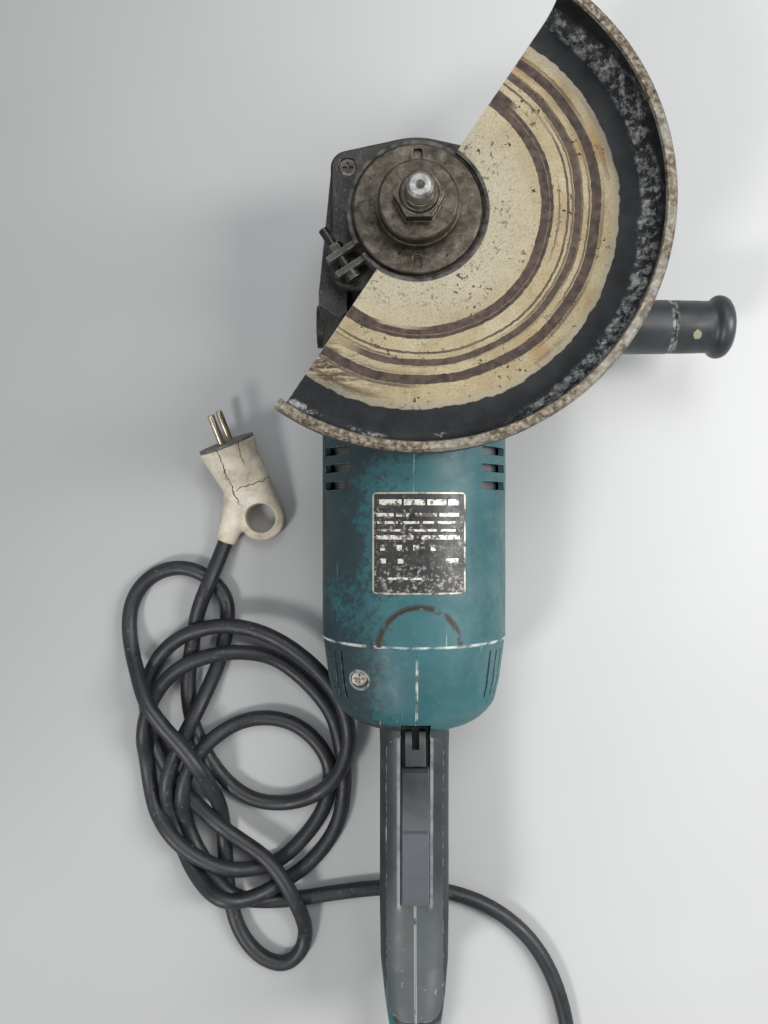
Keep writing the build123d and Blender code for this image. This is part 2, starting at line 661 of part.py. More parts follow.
# ---------------------------------------------------------------- stator and brushes
POLE_ARC = 100.0
COIL_ARC = 28.0
YOKE_RADIUS = 39.0
COIL_INNER = 29.0
COIL_OUTER = 38.0
COIL_OVERHANG = 8.0

with BuildPart() as stator_core:
    motor_ring(STATOR_FRONT_Y, STATOR_REAR_Y, YOKE_RADIUS, STATOR_RADIUS)
    for middle in (0, 180):
        motor_ring(
            STATOR_FRONT_Y,
            STATOR_REAR_Y,
            STATOR_BORE_RADIUS,
            YOKE_RADIUS + 1,
            angle=middle - POLE_ARC / 2,
            arc=POLE_ARC,
        )
finish(stator_core, "stator_core")

with BuildPart() as stator_windings:
    for middle in (0, 180):
        reach = POLE_ARC / 2 + 1
        for start in (middle - reach - COIL_ARC, middle + reach):
            motor_ring(
                STATOR_FRONT_Y + COIL_OVERHANG,
                STATOR_REAR_Y - COIL_OVERHANG,
                COIL_INNER,
                COIL_OUTER,
                angle=start,
                arc=COIL_ARC,
            )
        for front_y in (STATOR_FRONT_Y + COIL_OVERHANG, STATOR_REAR_Y - 0.5):
            motor_ring(
                front_y,
                front_y - COIL_OVERHANG + 0.5,
                COIL_INNER,
                COIL_OUTER,
                angle=middle - reach - COIL_ARC,
                arc=2 * (reach + COIL_ARC),
            )
finish(stator_windings, "stator_windings")

BRUSH_WIDTH = 8.0
BRUSH_HEIGHT = 12.0
BRUSH_HOLDER_WALL = 2.0
BRUSH_LENGTH = 20.0
BRUSH_HOLDER_START = 20.0
BRUSH_HOLDER_END = 45.0

with BuildPart() as brush_holders:
    for start in (BRUSH_HOLDER_START, -BRUSH_HOLDER_END):
        block(
            beside(start),
            BRUSH_HOLDER_END - BRUSH_HOLDER_START,
            BRUSH_WIDTH + 2 * BRUSH_HOLDER_WALL,
            BRUSH_HEIGHT + 2 * BRUSH_HOLDER_WALL,
            [(BRUSH_Y, MOTOR_RADIUS)],
        )
    block(beside(-60), 120, BRUSH_WIDTH, BRUSH_HEIGHT, [(BRUSH_Y, MOTOR_RADIUS)], mode=Mode.SUBTRACT)
finish(brush_holders, "brush_holders")

with BuildPart() as carbon_brushes:
    for start in (COMMUTATOR_RADIUS + 0.1, -COMMUTATOR_RADIUS - 0.1 - BRUSH_LENGTH):
        block(beside(start), BRUSH_LENGTH, BRUSH_WIDTH, BRUSH_HEIGHT, [(BRUSH_Y, MOTOR_RADIUS)])
finish(carbon_brushes, "carbon_brushes")

# ---------------------------------------------------------------- motor housing
VENTS_Y = [-121.0, -130.3, -139.7]
VENT_WIDTH = 4.4
VENT_START_ANGLE = 42.0
VENT_ARC = 30.0
PAD_RADIUS = 20.8
PAD_X = 1.5
PAD_HEIGHT = 1.0
WALL_FRONT_Y = -216.0
WALL_REAR_Y = -221.0
HUB_FRONT_Y = -206.0
motor_bore = MOTOR_RADIUS - MOTOR_WALL

with BuildPart() as motor_housing:
    motor_ring(GEAR_REAR_Y, MOTOR_REAR_Y, motor_bore, MOTOR_RADIUS)
    with BuildSketch(level(MOTOR_RADIUS)):
        with Locations((PAD_X, MOTOR_REAR_Y)):
            Circle(PAD_RADIUS)
    extrude(amount=MOTOR_RADIUS + 10, mode=Mode.ADD)
    turned_on_motor(
        [
            (GEAR_REAR_Y, 0),
            (GEAR_REAR_Y, MOTOR_RADIUS),
            (MOTOR_REAR_Y + PAD_RADIUS + 5, MOTOR_RADIUS),
            (MOTOR_REAR_Y + PAD_RADIUS + 5, MOTOR_RADIUS + PAD_HEIGHT),
            (MOTOR_REAR_Y, MOTOR_RADIUS + PAD_HEIGHT),
            (MOTOR_REAR_Y, 0),
        ],
        mode=Mode.INTERSECT,
    )
    bar(across(GEAR_REAR_Y + 10), 300, motor_bore, [(0, MOTOR_RADIUS)], mode=Mode.SUBTRACT)
    for front_y, rear_y in ((-101, -115), (-144, -154)):
        motor_ring(front_y, rear_y, STATOR_RADIUS, motor_bore + 0.5)
    motor_ring(WALL_FRONT_Y, WALL_REAR_Y, REAR_BEARING_RADIUS - 4, motor_bore + 0.5)
    motor_ring(HUB_FRONT_Y, WALL_FRONT_Y - 1, REAR_BEARING_RADIUS, REAR_BEARING_RADIUS + 4)
    motor_ring(HUB_FRONT_Y, REAR_BEARING_END_Y, 1, REAR_BEARING_RADIUS, mode=Mode.SUBTRACT)
    for middle in (0, 60, 120, 180, 240, 300):
        motor_ring(
            WALL_FRONT_Y + 5, WALL_REAR_Y - 1, 23, 43, mode=Mode.SUBTRACT, angle=middle - 20, arc=40
        )
    bar(across(GEAR_REAR_Y), 24, SCREW_POST_RADIUS, housing_screws_at)
    bar(across(GEAR_REAR_Y), 18, HOUSING_SCREW_RADIUS, housing_screws_at, mode=Mode.SUBTRACT)
    for middle_y in VENTS_Y:
        for start in (VENT_START_ANGLE, -VENT_START_ANGLE - VENT_ARC):
            motor_ring(
                middle_y + VENT_WIDTH / 2,
                middle_y - VENT_WIDTH / 2,
                STATOR_RADIUS + 0.4,
                MOTOR_RADIUS + 2,
                mode=Mode.SUBTRACT,
                angle=start,
                arc=VENT_ARC,
            )
finish(motor_housing, "motor_housing")

with BuildPart() as fan_baffle:
    motor_ring(-91, -93, FAN_RADIUS + 1, motor_bore)
finish(fan_baffle, "fan_baffle")

PLATE_FRONT_Y = -143.5
PLATE_REAR_Y = -196.3
PLATE_MIDDLE_X = 1.2
PLATE_WIDTH = 48.6
PLATE_THICKNESS = 0.4

with BuildPart() as name_plate:
    motor_ring(PLATE_FRONT_Y + 1, PLATE_REAR_Y - 1, MOTOR_RADIUS, MOTOR_RADIUS + PLATE_THICKNESS)
    block(
        level(2 * MOTOR_RADIUS - 20),
        40,
        PLATE_WIDTH,
        PLATE_FRONT_Y - PLATE_REAR_Y,
        [(PLATE_MIDDLE_X, (PLATE_FRONT_Y + PLATE_REAR_Y) / 2)],
        corner=2.5,
        mode=Mode.INTERSECT,
    )
finish(name_plate, "name_plate")

# ---------------------------------------------------------------- guard and its clamp
guard_turn = radians(GUARD_START_ANGLE)
guard_plane = Plane(
    origin=(0, 0, 0), x_dir=(cos(guard_turn), sin(guard_turn), 0), z_dir=(sin(guard_turn), -cos(guard_turn), 0)
)
clamp_turn = radians(CLAMP_ANGLE)
clamp_plane = Plane(
    origin=(0, 0, 0), x_dir=(cos(clamp_turn), sin(clamp_turn), 0), z_dir=(sin(clamp_turn), -cos(clamp_turn), 0)
)
COLLAR_BOTTOM = 94.5
COLLAR_SHOULDER = 104.6
COLLAR_TOP = 106.0
EAR_TOP = 104.0
EAR_BOTTOM = 95.5
EAR_REACH = 52.0
CLAMP_NUT_ACROSS = 8.0
CLAMP_NUT_HEIGHT = 4.0
CLAMP_HEAD_RADIUS = 4.2
CLAMP_HEAD_LENGTH = 4.5
CLAMP_SCREW_END = 20.0
plate_top = GUARD_PLATE_BOTTOM + GUARD_SHEET
corner_x = GUARD_RADIUS - GUARD_CORNER_RADIUS
corner_z = GUARD_PLATE_BOTTOM + GUARD_CORNER_RADIUS
inner_corner = GUARD_CORNER_RADIUS - GUARD_SHEET
diagonal = sqrt(0.5)
clamp_centre = [(CLAMP_SCREW_PLACE, (EAR_TOP + EAR_BOTTOM) / 2)]

with BuildPart() as guard:
    with BuildSketch(guard_plane):
        with BuildLine():
            Line((COLLAR_RADIUS - 1, GUARD_PLATE_BOTTOM), (corner_x, GUARD_PLATE_BOTTOM))
            ThreePointArc(
                (corner_x, GUARD_PLATE_BOTTOM),
                (corner_x + GUARD_CORNER_RADIUS * diagonal, corner_z - GUARD_CORNER_RADIUS * diagonal),
                (GUARD_RADIUS, corner_z),
            )
            Polyline(
                (GUARD_RADIUS, corner_z),
                (GUARD_RADIUS, GUARD_RIM_TOP - 1.5),
                (GUARD_RADIUS - 1.5, GUARD_RIM_TOP),
                (GUARD_RADIUS - GUARD_LIP + 0.6, GUARD_RIM_TOP),
                (GUARD_RADIUS - GUARD_LIP, GUARD_RIM_TOP - 1.8),
                (GUARD_RADIUS - GUARD_SHEET, GUARD_RIM_TOP - 2.4),
                (GUARD_RADIUS - GUARD_SHEET, corner_z),
            )
            ThreePointArc(
                (GUARD_RADIUS - GUARD_SHEET, corner_z),
                (corner_x + inner_corner * diagonal, corner_z - inner_corner * diagonal),
                (corner_x, plate_top),
            )
            Polyline(
                (corner_x, plate_top),
                (COLLAR_RADIUS - 1, plate_top),
                (COLLAR_RADIUS - 1, GUARD_PLATE_BOTTOM),
            )
        make_face()
    revolve(axis=Axis.Z, revolution_arc=GUARD_SWEEP)
    turned_on_spindle(
        [
            (NECK_RADIUS + RUNNING_GAP, COLLAR_BOTTOM),
            (COLLAR_RADIUS, COLLAR_BOTTOM),
            (COLLAR_RADIUS, COLLAR_TOP),
            (GUARD_HOLE_RADIUS, COLLAR_TOP),
            (GUARD_HOLE_RADIUS, COLLAR_SHOULDER),
            (NECK_RADIUS + RUNNING_GAP, COLLAR_SHOULDER),
        ]
    )
    for start in (CLAMP_HALF_GAP, -CLAMP_HALF_GAP - CLAMP_EAR):
        block(
            clamp_plane.offset(start),
            CLAMP_EAR,
            EAR_REACH - COLLAR_RADIUS + 2,
            EAR_TOP - EAR_BOTTOM,
            [((EAR_REACH + COLLAR_RADIUS - 2) / 2, (EAR_TOP + EAR_BOTTOM) / 2)],
        )
    block(
        clamp_plane.offset(-CLAMP_HALF_GAP),
        2 * CLAMP_HALF_GAP,
        24,
        40,
        [(NECK_RADIUS + 10, 100)],
        mode=Mode.SUBTRACT,
    )
    bar(clamp_plane.offset(-20), 40, CLAMP_SCREW_RADIUS, clamp_centre, mode=Mode.SUBTRACT)
finish(guard, "guard")

ear_outside = CLAMP_HALF_GAP + CLAMP_EAR

with BuildPart() as guard_clamp_screw:
    bar(clamp_plane.offset(-ear_outside), ear_outside + CLAMP_SCREW_END, CLAMP_SCREW_RADIUS, clamp_centre)
    bar(clamp_plane.offset(-ear_outside - CLAMP_HEAD_LENGTH), CLAMP_HEAD_LENGTH, CLAMP_HEAD_RADIUS, clamp_centre)
    hexagon(clamp_plane.offset(-ear_outside - CLAMP_HEAD_LENGTH), 2.5, 4, clamp_centre, mode=Mode.SUBTRACT)
finish(guard_clamp_screw, "guard_clamp_screw")

with BuildPart() as guard_clamp_nut:
    hexagon(clamp_plane.offset(ear_outside), CLAMP_NUT_HEIGHT, CLAMP_NUT_ACROSS, clamp_centre)
    bar(clamp_plane, 40, CLAMP_SCREW_RADIUS, clamp_centre, mode=Mode.SUBTRACT)
finish(guard_clamp_nut, "guard_clamp_nut")

# ---------------------------------------------------------------- spindle lock button
with BuildPart() as lock_button:
    bar(level(LOCK_BUTTON_BOTTOM), LOCK_BUTTON_TOP - LOCK_BUTTON_BOTTOM, LOCK_BUTTON_RADIUS, lock_at)
    fillet(lock_button.edges().sort_by(Axis.Z)[0], radius=1.0)
    bar(level(LOCK_BUTTON_TOP), LOCK_PIN_TOP - LOCK_BUTTON_TOP, LOCK_PIN_RADIUS, lock_at)
    chamfer(lock_button.edges().sort_by(Axis.Z)[-1], length=0.6)
finish(lock_button, "lock_button")


def coil_spring(bottom, top, turns, coil_radius, wire_radius, x, y):
    """A compression spring that stands on the level plane at its bottom."""
    with BuildPart() as spring:
        foot = bottom + wire_radius
        rise = top - bottom - 2 * wire_radius
        with BuildLine(Plane(origin=(x, y, foot), z_dir=(0, 0, 1))) as wire:
            Helix(pitch=rise / turns, height=rise, radius=coil_radius)
        with BuildSketch(Plane(origin=wire.line @ 0, z_dir=wire.line % 0)):
            Circle(wire_radius)
        sweep(is_frenet=True)
    return spring


lock_spring = coil_spring(LOCK_BUTTON_TOP + 0.2, LOCK_POCKET_TOP - 0.2, 4, 4.6, 0.6, 0, LOCK_CIRCLE)
finish(lock_spring, "lock_spring")

# ---------------------------------------------------------------- side handle
STUD_START_X = SIDE_HOLE_BOTTOM_X + 2
STUD_END_X = 92.0
SIDE_FLANGE_RADIUS = 24.0
side_axis = Axis((0, SIDE_HANDLE_Y, SIDE_HANDLE_Z), (1, 0, 0))
side_plane = Plane(origin=(0, SIDE_HANDLE_Y, SIDE_HANDLE_Z), x_dir=(1, 0, 0), z_dir=(0, -1, 0))

with BuildPart() as side_handle_stud:
    bar(beside(STUD_START_X), STUD_END_X - STUD_START_X, THREAD_RADIUS, side_bosses)
    bar(beside(SIDE_BOSS_FACE_X), 3, 10.5, side_bosses)
    chamfer(side_handle_stud.edges().sort_by(Axis.X)[0], length=1.2)
finish(side_handle_stud, "side_handle_stud")

grip_start = SIDE_BOSS_FACE_X + 3

with BuildPart() as side_handle_grip:
    turned(
        [
            (grip_start, THREAD_RADIUS),
            (grip_start, SIDE_FLANGE_RADIUS - 1.5),
            (grip_start + 1.5, SIDE_FLANGE_RADIUS),
            (grip_start + 5, SIDE_FLANGE_RADIUS),
            (grip_start + 10, SIDE_GRIP_RADIUS + 2),
            (grip_start + 17, SIDE_GRIP_RADIUS),
            (SIDE_SEAM_X - 0.6, SIDE_GRIP_RADIUS - 0.8),
            (SIDE_SEAM_X, SIDE_GRIP_RADIUS - 1.4),
            (SIDE_SEAM_X, 0),
            (STUD_END_X, 0),
            (STUD_END_X, THREAD_RADIUS),
        ],
        side_plane,
        side_axis,
    )
finish(side_handle_grip, "side_handle_grip")

with BuildPart() as side_handle_cap:
    turned(
        [
            (SIDE_SEAM_X, 0),
            (SIDE_SEAM_X, SIDE_GRIP_RADIUS - 1.4),
            (SIDE_SEAM_X + 0.6, SIDE_GRIP_RADIUS - 0.8),
            (SIDE_GRIP_END_X - 22, SIDE_GRIP_RADIUS - 0.9),
            (SIDE_GRIP_END_X - 14, SIDE_GRIP_RADIUS + 0.6),
            (SIDE_GRIP_END_X - 9, SIDE_GRIP_RADIUS + 1.8),
            (SIDE_GRIP_END_X - 5, SIDE_GRIP_RADIUS + 1.6),
            (SIDE_GRIP_END_X - 1.8, SIDE_GRIP_RADIUS - 1.5),
            (SIDE_GRIP_END_X, SIDE_GRIP_RADIUS - 6),
            (SIDE_GRIP_END_X, 0),
        ],
        side_plane,
        side_axis,
    )
finish(side_handle_cap, "side_handle_cap")

# ---------------------------------------------------------------- rear handle
def handle_form(inset):
    """The grip part of the rear handle, ruled from section to section, each one inset."""
    with BuildPart() as form:
        sections = []
        for place, (y, width, low, high, corner) in enumerate(HANDLE_SECTIONS):
            end_inset = inset if place == len(HANDLE_SECTIONS) - 1 else 0
            with BuildSketch(across(y + end_inset)) as section:
                with Locations((0, (low + high) / 2)):
                    RectangleRounded(width - 2 * inset, high - low - 2 * inset, corner - inset)
            sections.append(section.sketch)
        loft(sections, ruled=True)
    return form.part


def cap_form(inset):
    """The round cap that closes the motor housing, ahead of the grip."""
    round_centre_y = -245.5
    round_centre = 21.0
    round_radius = 28.0 - inset
    waist_y = -247.0
    waist_radius = 48.5
    with BuildPart() as form:
        with BuildSketch(Plane.YZ):
            with BuildLine():
                lean = radians(29)
                knee = (round_centre_y - round_radius * cos(radians(62)), round_radius * sin(radians(62)))
                knee_at = (knee[0], MOTOR_RADIUS + round_centre + knee[1])
                middle_at = (
                    round_centre_y - round_radius * cos(lean),
                    MOTOR_RADIUS + round_centre + round_radius * sin(lean),
                )
                end_at = (round_centre_y - round_radius, MOTOR_RADIUS + round_centre)
                Polyline(
                    end_at,
                    (end_at[0], MOTOR_RADIUS),
                    (MOTOR_REAR_Y, MOTOR_RADIUS),
                    (MOTOR_REAR_Y, MOTOR_RADIUS + CAP_FRONT_RADIUS - inset),
                    (waist_y, MOTOR_RADIUS + waist_radius - inset),
                    knee_at,
                )
                ThreePointArc(knee_at, middle_at, end_at)
            make_face()
        revolve(axis=MOTOR_AXIS)
    return form.part


INLAY_FRONT_Y = -276.0
INLAY_REAR_Y = -427.0
INLAY_WIDTH = 31.0
CAP_SLITS = [52, 60, 68, 76, 84, 92, 100]
CAP_SLIT_WIDTH = 1.9
CAP_SLIT_LENGTH = 26.0
CAP_SLIT_Y = -241.0
CAP_SCREW_X = -30.0
CAP_SCREW_Y = -242.5
CAP_SCREW_SEAT = 84.0
CAP_RECESS_RADIUS = 4.75
RELIEF_NECK_RADIUS = 6.0
POST_RADIUS = 4.6
PIVOT_BOSS_RADIUS = 5.0
HEAD_SEAT_X = 9.0
SCREW_TIP_X = -8.0
cap_screw_at = [(CAP_SCREW_X, CAP_SCREW_Y)]
pivot_at = [(PIVOT_Y, PIVOT_Z)]
inlay_middle = [(0, (INLAY_FRONT_Y + INLAY_REAR_Y) / 2)]
inlay_length = INLAY_FRONT_Y - INLAY_REAR_Y
slot_middle = [(0, (SLOT_FRONT_Y + SLOT_REAR_Y) / 2)]
slot_length = SLOT_FRONT_Y - SLOT_REAR_Y
slot_width = LEVER_WIDTH + 2 * SLOT_SIDE_GAP
grip_outside = handle_form(0)
under_inlay = handle_form(INLAY_DEPTH)

with BuildPart() as handle_inside:
    add(cap_form(CAP_WALL))
    add(handle_form(HANDLE_WALL))
    bar(beside(-60), 120, POST_RADIUS, HANDLE_SCREWS, mode=Mode.SUBTRACT)
    bar(beside(-60), 120, PIVOT_BOSS_RADIUS, pivot_at, mode=Mode.SUBTRACT)
    bar(level(CAP_SCREW_SEAT - 8), 40, CAP_RECESS_RADIUS + 2.5, cap_screw_at, mode=Mode.SUBTRACT)

with BuildPart() as inlay_bed:
    block(level(55), 60, INLAY_WIDTH, inlay_length, inlay_middle, corner=9)
    add(under_inlay, mode=Mode.SUBTRACT)

with BuildPart() as slits:
    for angle in CAP_SLITS + [-angle for angle in CAP_SLITS]:
        spot = radians(angle)
        slit_plane = Plane(
            origin=(0, 0, MOTOR_RADIUS), x_dir=(0, 1, 0), z_dir=(sin(spot), 0, cos(spot))
        )
        block(
            slit_plane.offset(38),
            20,
            CAP_SLIT_LENGTH,
            CAP_SLIT_WIDTH,
            [(CAP_SLIT_Y, 0)],
            corner=CAP_SLIT_WIDTH / 2 - 0.05,
        )

with BuildPart() as handle_shell:
    add(cap_form(0))
    add(grip_outside)
    add(handle_inside.part, mode=Mode.SUBTRACT)
    add(inlay_bed.part, mode=Mode.SUBTRACT)
    add(slits.part, mode=Mode.SUBTRACT)
    block(level(50), 60, slot_width, slot_length, slot_middle, mode=Mode.SUBTRACT)
    bar(beside(-PIVOT_HALF_LENGTH), 2 * PIVOT_HALF_LENGTH, PIVOT_RADIUS, pivot_at, mode=Mode.SUBTRACT)
    bar(beside(SCREW_TIP_X), 60, HANDLE_SCREW_RADIUS, HANDLE_SCREWS, mode=Mode.SUBTRACT)
    bar(beside(HEAD_SEAT_X), 60, HANDLE_SCREW_HEAD_RADIUS, HANDLE_SCREWS, mode=Mode.SUBTRACT)
    bar(level(CAP_SCREW_SEAT), 40, CAP_RECESS_RADIUS, cap_screw_at, mode=Mode.SUBTRACT)
    bar(level(CAP_SCREW_SEAT - 6), 10, HANDLE_SCREW_RADIUS, cap_screw_at, mode=Mode.SUBTRACT)
    bar(across(-420), 40, RELIEF_NECK_RADIUS, [(0, STRAIN_RELIEF_Z)], mode=Mode.SUBTRACT)

with BuildPart() as inlay_whole:
    block(level(55), 60, INLAY_WIDTH, inlay_length, inlay_middle, corner=9)
    add(grip_outside, mode=Mode.INTERSECT)
    add(under_inlay, mode=Mode.SUBTRACT)
    block(level(50), 60, slot_width + 0.2, slot_length + 0.2, slot_middle, mode=Mode.SUBTRACT)

for whole, stem in ((handle_shell, "handle"), (inlay_whole, "grip_inlay")):
    for side_name, start in (("left", -100 - HALF_GAP), ("right", HALF_GAP)):
        with BuildPart() as half:
            add(whole.part)
            block(beside(start), 100, 300, 200, [(-330, 60)], mode=Mode.INTERSECT)
        finish(half, f"{stem}_{side_name}")

with BuildPart() as handle_screws:
    bar(beside(SCREW_TIP_X), HEAD_SEAT_X - SCREW_TIP_X, HANDLE_SCREW_RADIUS, HANDLE_SCREWS)
    bar(beside(HEAD_SEAT_X), 3, HANDLE_SCREW_HEAD_RADIUS, HANDLE_SCREWS)
finish(handle_screws, "handle_screws")

with BuildPart() as cap_screw:
    bar(level(CAP_SCREW_SEAT - 6), 6, HANDLE_SCREW_RADIUS, [(CAP_SCREW_X, CAP_SCREW_Y)])
    bar(level(CAP_SCREW_SEAT), 2.6, CAP_RECESS_RADIUS - 0.6, [(CAP_SCREW_X, CAP_SCREW_Y)])
    block(level(CAP_SCREW_SEAT + 1.6), 2, 5, 1, [(CAP_SCREW_X, CAP_SCREW_Y)], mode=Mode.SUBTRACT)
    block(level(CAP_SCREW_SEAT + 1.6), 2, 1, 5, [(CAP_SCREW_X, CAP_SCREW_Y)], mode=Mode.SUBTRACT)
finish(cap_screw, "cap_screw")

# ---------------------------------------------------------------- trigger, lock-off and switch
TONGUE_TOP = 72.5
RAISED_FRONT_Y = -291.5
RAISED_REAR_Y = -324.0
LEVER_UNDERSIDE_FRONT = 66.0
LEVER_UNDERSIDE_REAR = 63.0
RAISED_TOP = 85.5
LEVER_TOP = 82.0

with BuildPart() as trigger_lever:
    with BuildSketch(beside(-LEVER_WIDTH / 2)):
        with BuildLine():
            Polyline(
                (LEVER_FRONT_Y, LEVER_UNDERSIDE_FRONT),
                (LEVER_FRONT_Y, TONGUE_TOP),
                (RAISED_FRONT_Y, TONGUE_TOP),
                (RAISED_FRONT_Y, RAISED_TOP - 2),
                (RAISED_FRONT_Y - 2, RAISED_TOP),
                (RAISED_REAR_Y, RAISED_TOP),
                (RAISED_REAR_Y - 3, LEVER_TOP + 0.5),
                (PIVOT_Y, LEVER_TOP),
                (LEVER_REAR_Y, LEVER_TOP - 3),
                (LEVER_REAR_Y, LEVER_UNDERSIDE_REAR),
                (-300, LEVER_UNDERSIDE_FRONT),
                close=True,
            )
        make_face()
    extrude(amount=LEVER_WIDTH)
    long_edges = trigger_lever.faces().sort_by(Axis.X)[-1].edges() + trigger_lever.faces().sort_by(Axis.X)[0].edges()
    chamfer(long_edges.filter_by(lambda edge: edge.center().Z > TONGUE_TOP + 3), length=0.9)
    bar(beside(-20), 40, PIVOT_RADIUS + RUNNING_GAP, [(PIVOT_Y, PIVOT_Z)], mode=Mode.SUBTRACT)
finish(trigger_lever, "trigger_lever")

with BuildPart() as trigger_pivot:
    bar(beside(-PIVOT_HALF_LENGTH), 2 * PIVOT_HALF_LENGTH, PIVOT_RADIUS, pivot_at)
finish(trigger_pivot, "trigger_pivot")

LOCK_OFF_WIDTH = 11.0
LOCK_OFF_FRONT_Y = -273.0
LOCK_OFF_REAR_Y = -290.8
LOCK_OFF_TOP = 82.0
PRONG_GAP = 4.0
PRONG_LENGTH = 9.0

with BuildPart() as lock_off_slider:
    with BuildSketch(beside(-LOCK_OFF_WIDTH / 2)):
        with BuildLine():
            Polyline(
                (LOCK_OFF_REAR_Y, TONGUE_TOP + BODY_GAP),
                (LOCK_OFF_FRONT_Y, TONGUE_TOP + BODY_GAP),
                (LOCK_OFF_FRONT_Y, LOCK_OFF_TOP - 4),
                (LOCK_OFF_FRONT_Y - 5, LOCK_OFF_TOP - 1),
                (LOCK_OFF_REAR_Y, LOCK_OFF_TOP),
                close=True,
            )
        make_face()
    extrude(amount=LOCK_OFF_WIDTH)
    block(
        level(TONGUE_TOP),
        20,
        PRONG_GAP,
        2 * PRONG_LENGTH,
        [(0, LOCK_OFF_FRONT_Y)],
        mode=Mode.SUBTRACT,
    )
finish(lock_off_slider, "lock_off_slider")

SWITCH_FRONT_Y = -285.0
SWITCH_REAR_Y = -325.0
SWITCH_BOTTOM = 34.0
SWITCH_WIDTH = 22.0

with BuildPart() as switch_body:
    block(
        level(SWITCH_BOTTOM),
        SWITCH_TOP - SWITCH_BOTTOM,
        SWITCH_WIDTH,
        SWITCH_FRONT_Y - SWITCH_REAR_Y,
        [(0, (SWITCH_FRONT_Y + SWITCH_REAR_Y) / 2)],
        corner=1.5,
    )
    bar(level(SWITCH_TOP - 16), 30, PLUNGER_RADIUS + SLIDE_GAP, [(0, PLUNGER_Y)], mode=Mode.SUBTRACT)
finish(switch_body, "switch_body")

with BuildPart() as switch_plunger:
    bar(level(PLUNGER_BOTTOM), PLUNGER_TOP - PLUNGER_BOTTOM, PLUNGER_RADIUS, [(0, PLUNGER_Y)])
finish(switch_plunger, "switch_plunger")

trigger_spring = coil_spring(SWITCH_TOP + 0.2, LEVER_UNDERSIDE_FRONT - 1, 4, 3.6, 0.5, 0, -318.0)
finish(trigger_spring, "trigger_spring")

CLAMP_FRONT_Y = -406.0
CLAMP_REAR_Y = -416.0
CLAMP_Z = 37.0

with BuildPart() as cord_clamp:
    block(across(CLAMP_FRONT_Y), CLAMP_FRONT_Y - CLAMP_REAR_Y, 17, 14, [(0, CLAMP_Z)], corner=2)
    bar(across(CLAMP_FRONT_Y + 1), 20, CORD_RADIUS, [(0, CLAMP_Z)], mode=Mode.SUBTRACT)
finish(cord_clamp, "cord_clamp")

# ---------------------------------------------------------------- cord
RELIEF_FLANGE_RADIUS = 7.1
RELIEF_ROOT_RADIUS = 10.0
RELIEF_TIP_RADIUS = 6.2
handle_end_y = HANDLE_SECTIONS[-1][0]
relief_axis = Axis((0, 0, STRAIN_RELIEF_Z), (0, 1, 0))

with BuildPart() as strain_relief:
    turned(
        [
            (handle_end_y + 7.4, STRAIN_RELIEF_Z),
            (handle_end_y + 7.4, STRAIN_RELIEF_Z + RELIEF_FLANGE_RADIUS),
            (handle_end_y + 4.3, STRAIN_RELIEF_Z + RELIEF_FLANGE_RADIUS),
            (handle_end_y + 4.3, STRAIN_RELIEF_Z + RELIEF_NECK_RADIUS),
            (handle_end_y - 0.2, STRAIN_RELIEF_Z + RELIEF_NECK_RADIUS),
            (handle_end_y - 0.2, STRAIN_RELIEF_Z + RELIEF_ROOT_RADIUS),
            (handle_end_y - 4, STRAIN_RELIEF_Z + RELIEF_ROOT_RADIUS),
            (STRAIN_RELIEF_END_Y, STRAIN_RELIEF_Z + RELIEF_TIP_RADIUS),
            (STRAIN_RELIEF_END_Y, STRAIN_RELIEF_Z),
        ],
        Plane.YZ,
        relief_axis,
    )
finish(strain_relief, "strain_relief")

CORD_Z = CORD_RADIUS + 0.1
# From the strain relief down to the surface, round behind the handle, forward and under it.
CORD_TO_COIL = [
    (0, STRAIN_RELIEF_END_Y, STRAIN_RELIEF_Z),
    (-2, -507, 28),
    (-7, -534, 18),
    (-12, -564, 7.5),
    (2, -591, CORD_Z),
    (28, -606, CORD_Z),
    (58, -606, CORD_Z),
    (84, -591, CORD_Z),
    (100, -565, CORD_Z),
    (104, -532, CORD_Z),
    (100.5, -495, CORD_Z),
    (94, -455, CORD_Z),
    (77, -422, CORD_Z),
    (50, -400, CORD_Z),
    (18, -389.5, CORD_Z),
    (-17, -388.5, CORD_Z),
    (-50, -392.5, CORD_Z),
]
# From the pile up to the plug.
CORD_TO_PLUG = [
    (-126.5, -201.5, 15.5),
    (-121, -187, 10.5),
    (-115.6, -172.4, 8.0),
]
BEND_SHARE = 0.45            # of the shorter run at each corner


def bend_radii(points):
    """The radius at each corner: a share of the shorter run, over the tangent of half the turn."""
    radii = []
    for before, corner, after in zip(points, points[1:], points[2:]):
        arrive = Vector(*corner) - Vector(*before)
        leave = Vector(*after) - Vector(*corner)
        turn = arrive.get_angle(leave)
        radii.append(BEND_SHARE * min(arrive.length, leave.length) / tan(radians(turn / 2)))
    return radii


def cord_tube(points, name):
    """One plain stretch of the cord, as straight runs joined by tangent arcs."""
    radii = bend_radii(points)
    with BuildPart() as tube:
        with BuildLine() as route:
            FilletPolyline(*points, radius=radii)
        with BuildSketch(Plane(origin=route.line @ 0, z_dir=route.line % 0)):
            Circle(CORD_RADIUS)
        sweep()
    length = route.wire().length
    expected = pi * CORD_RADIUS**2 * length
    print(name, "radii", [round(radius) for radius in radii])
    print(name, "length", round(length, 1), "volume ratio", round(tube.part.volume / expected, 4))
    finish(tube, name)


cord_tube(CORD_TO_COIL, "cord_to_coil")
cord_tube(CORD_TO_PLUG, "cord_to_plug")

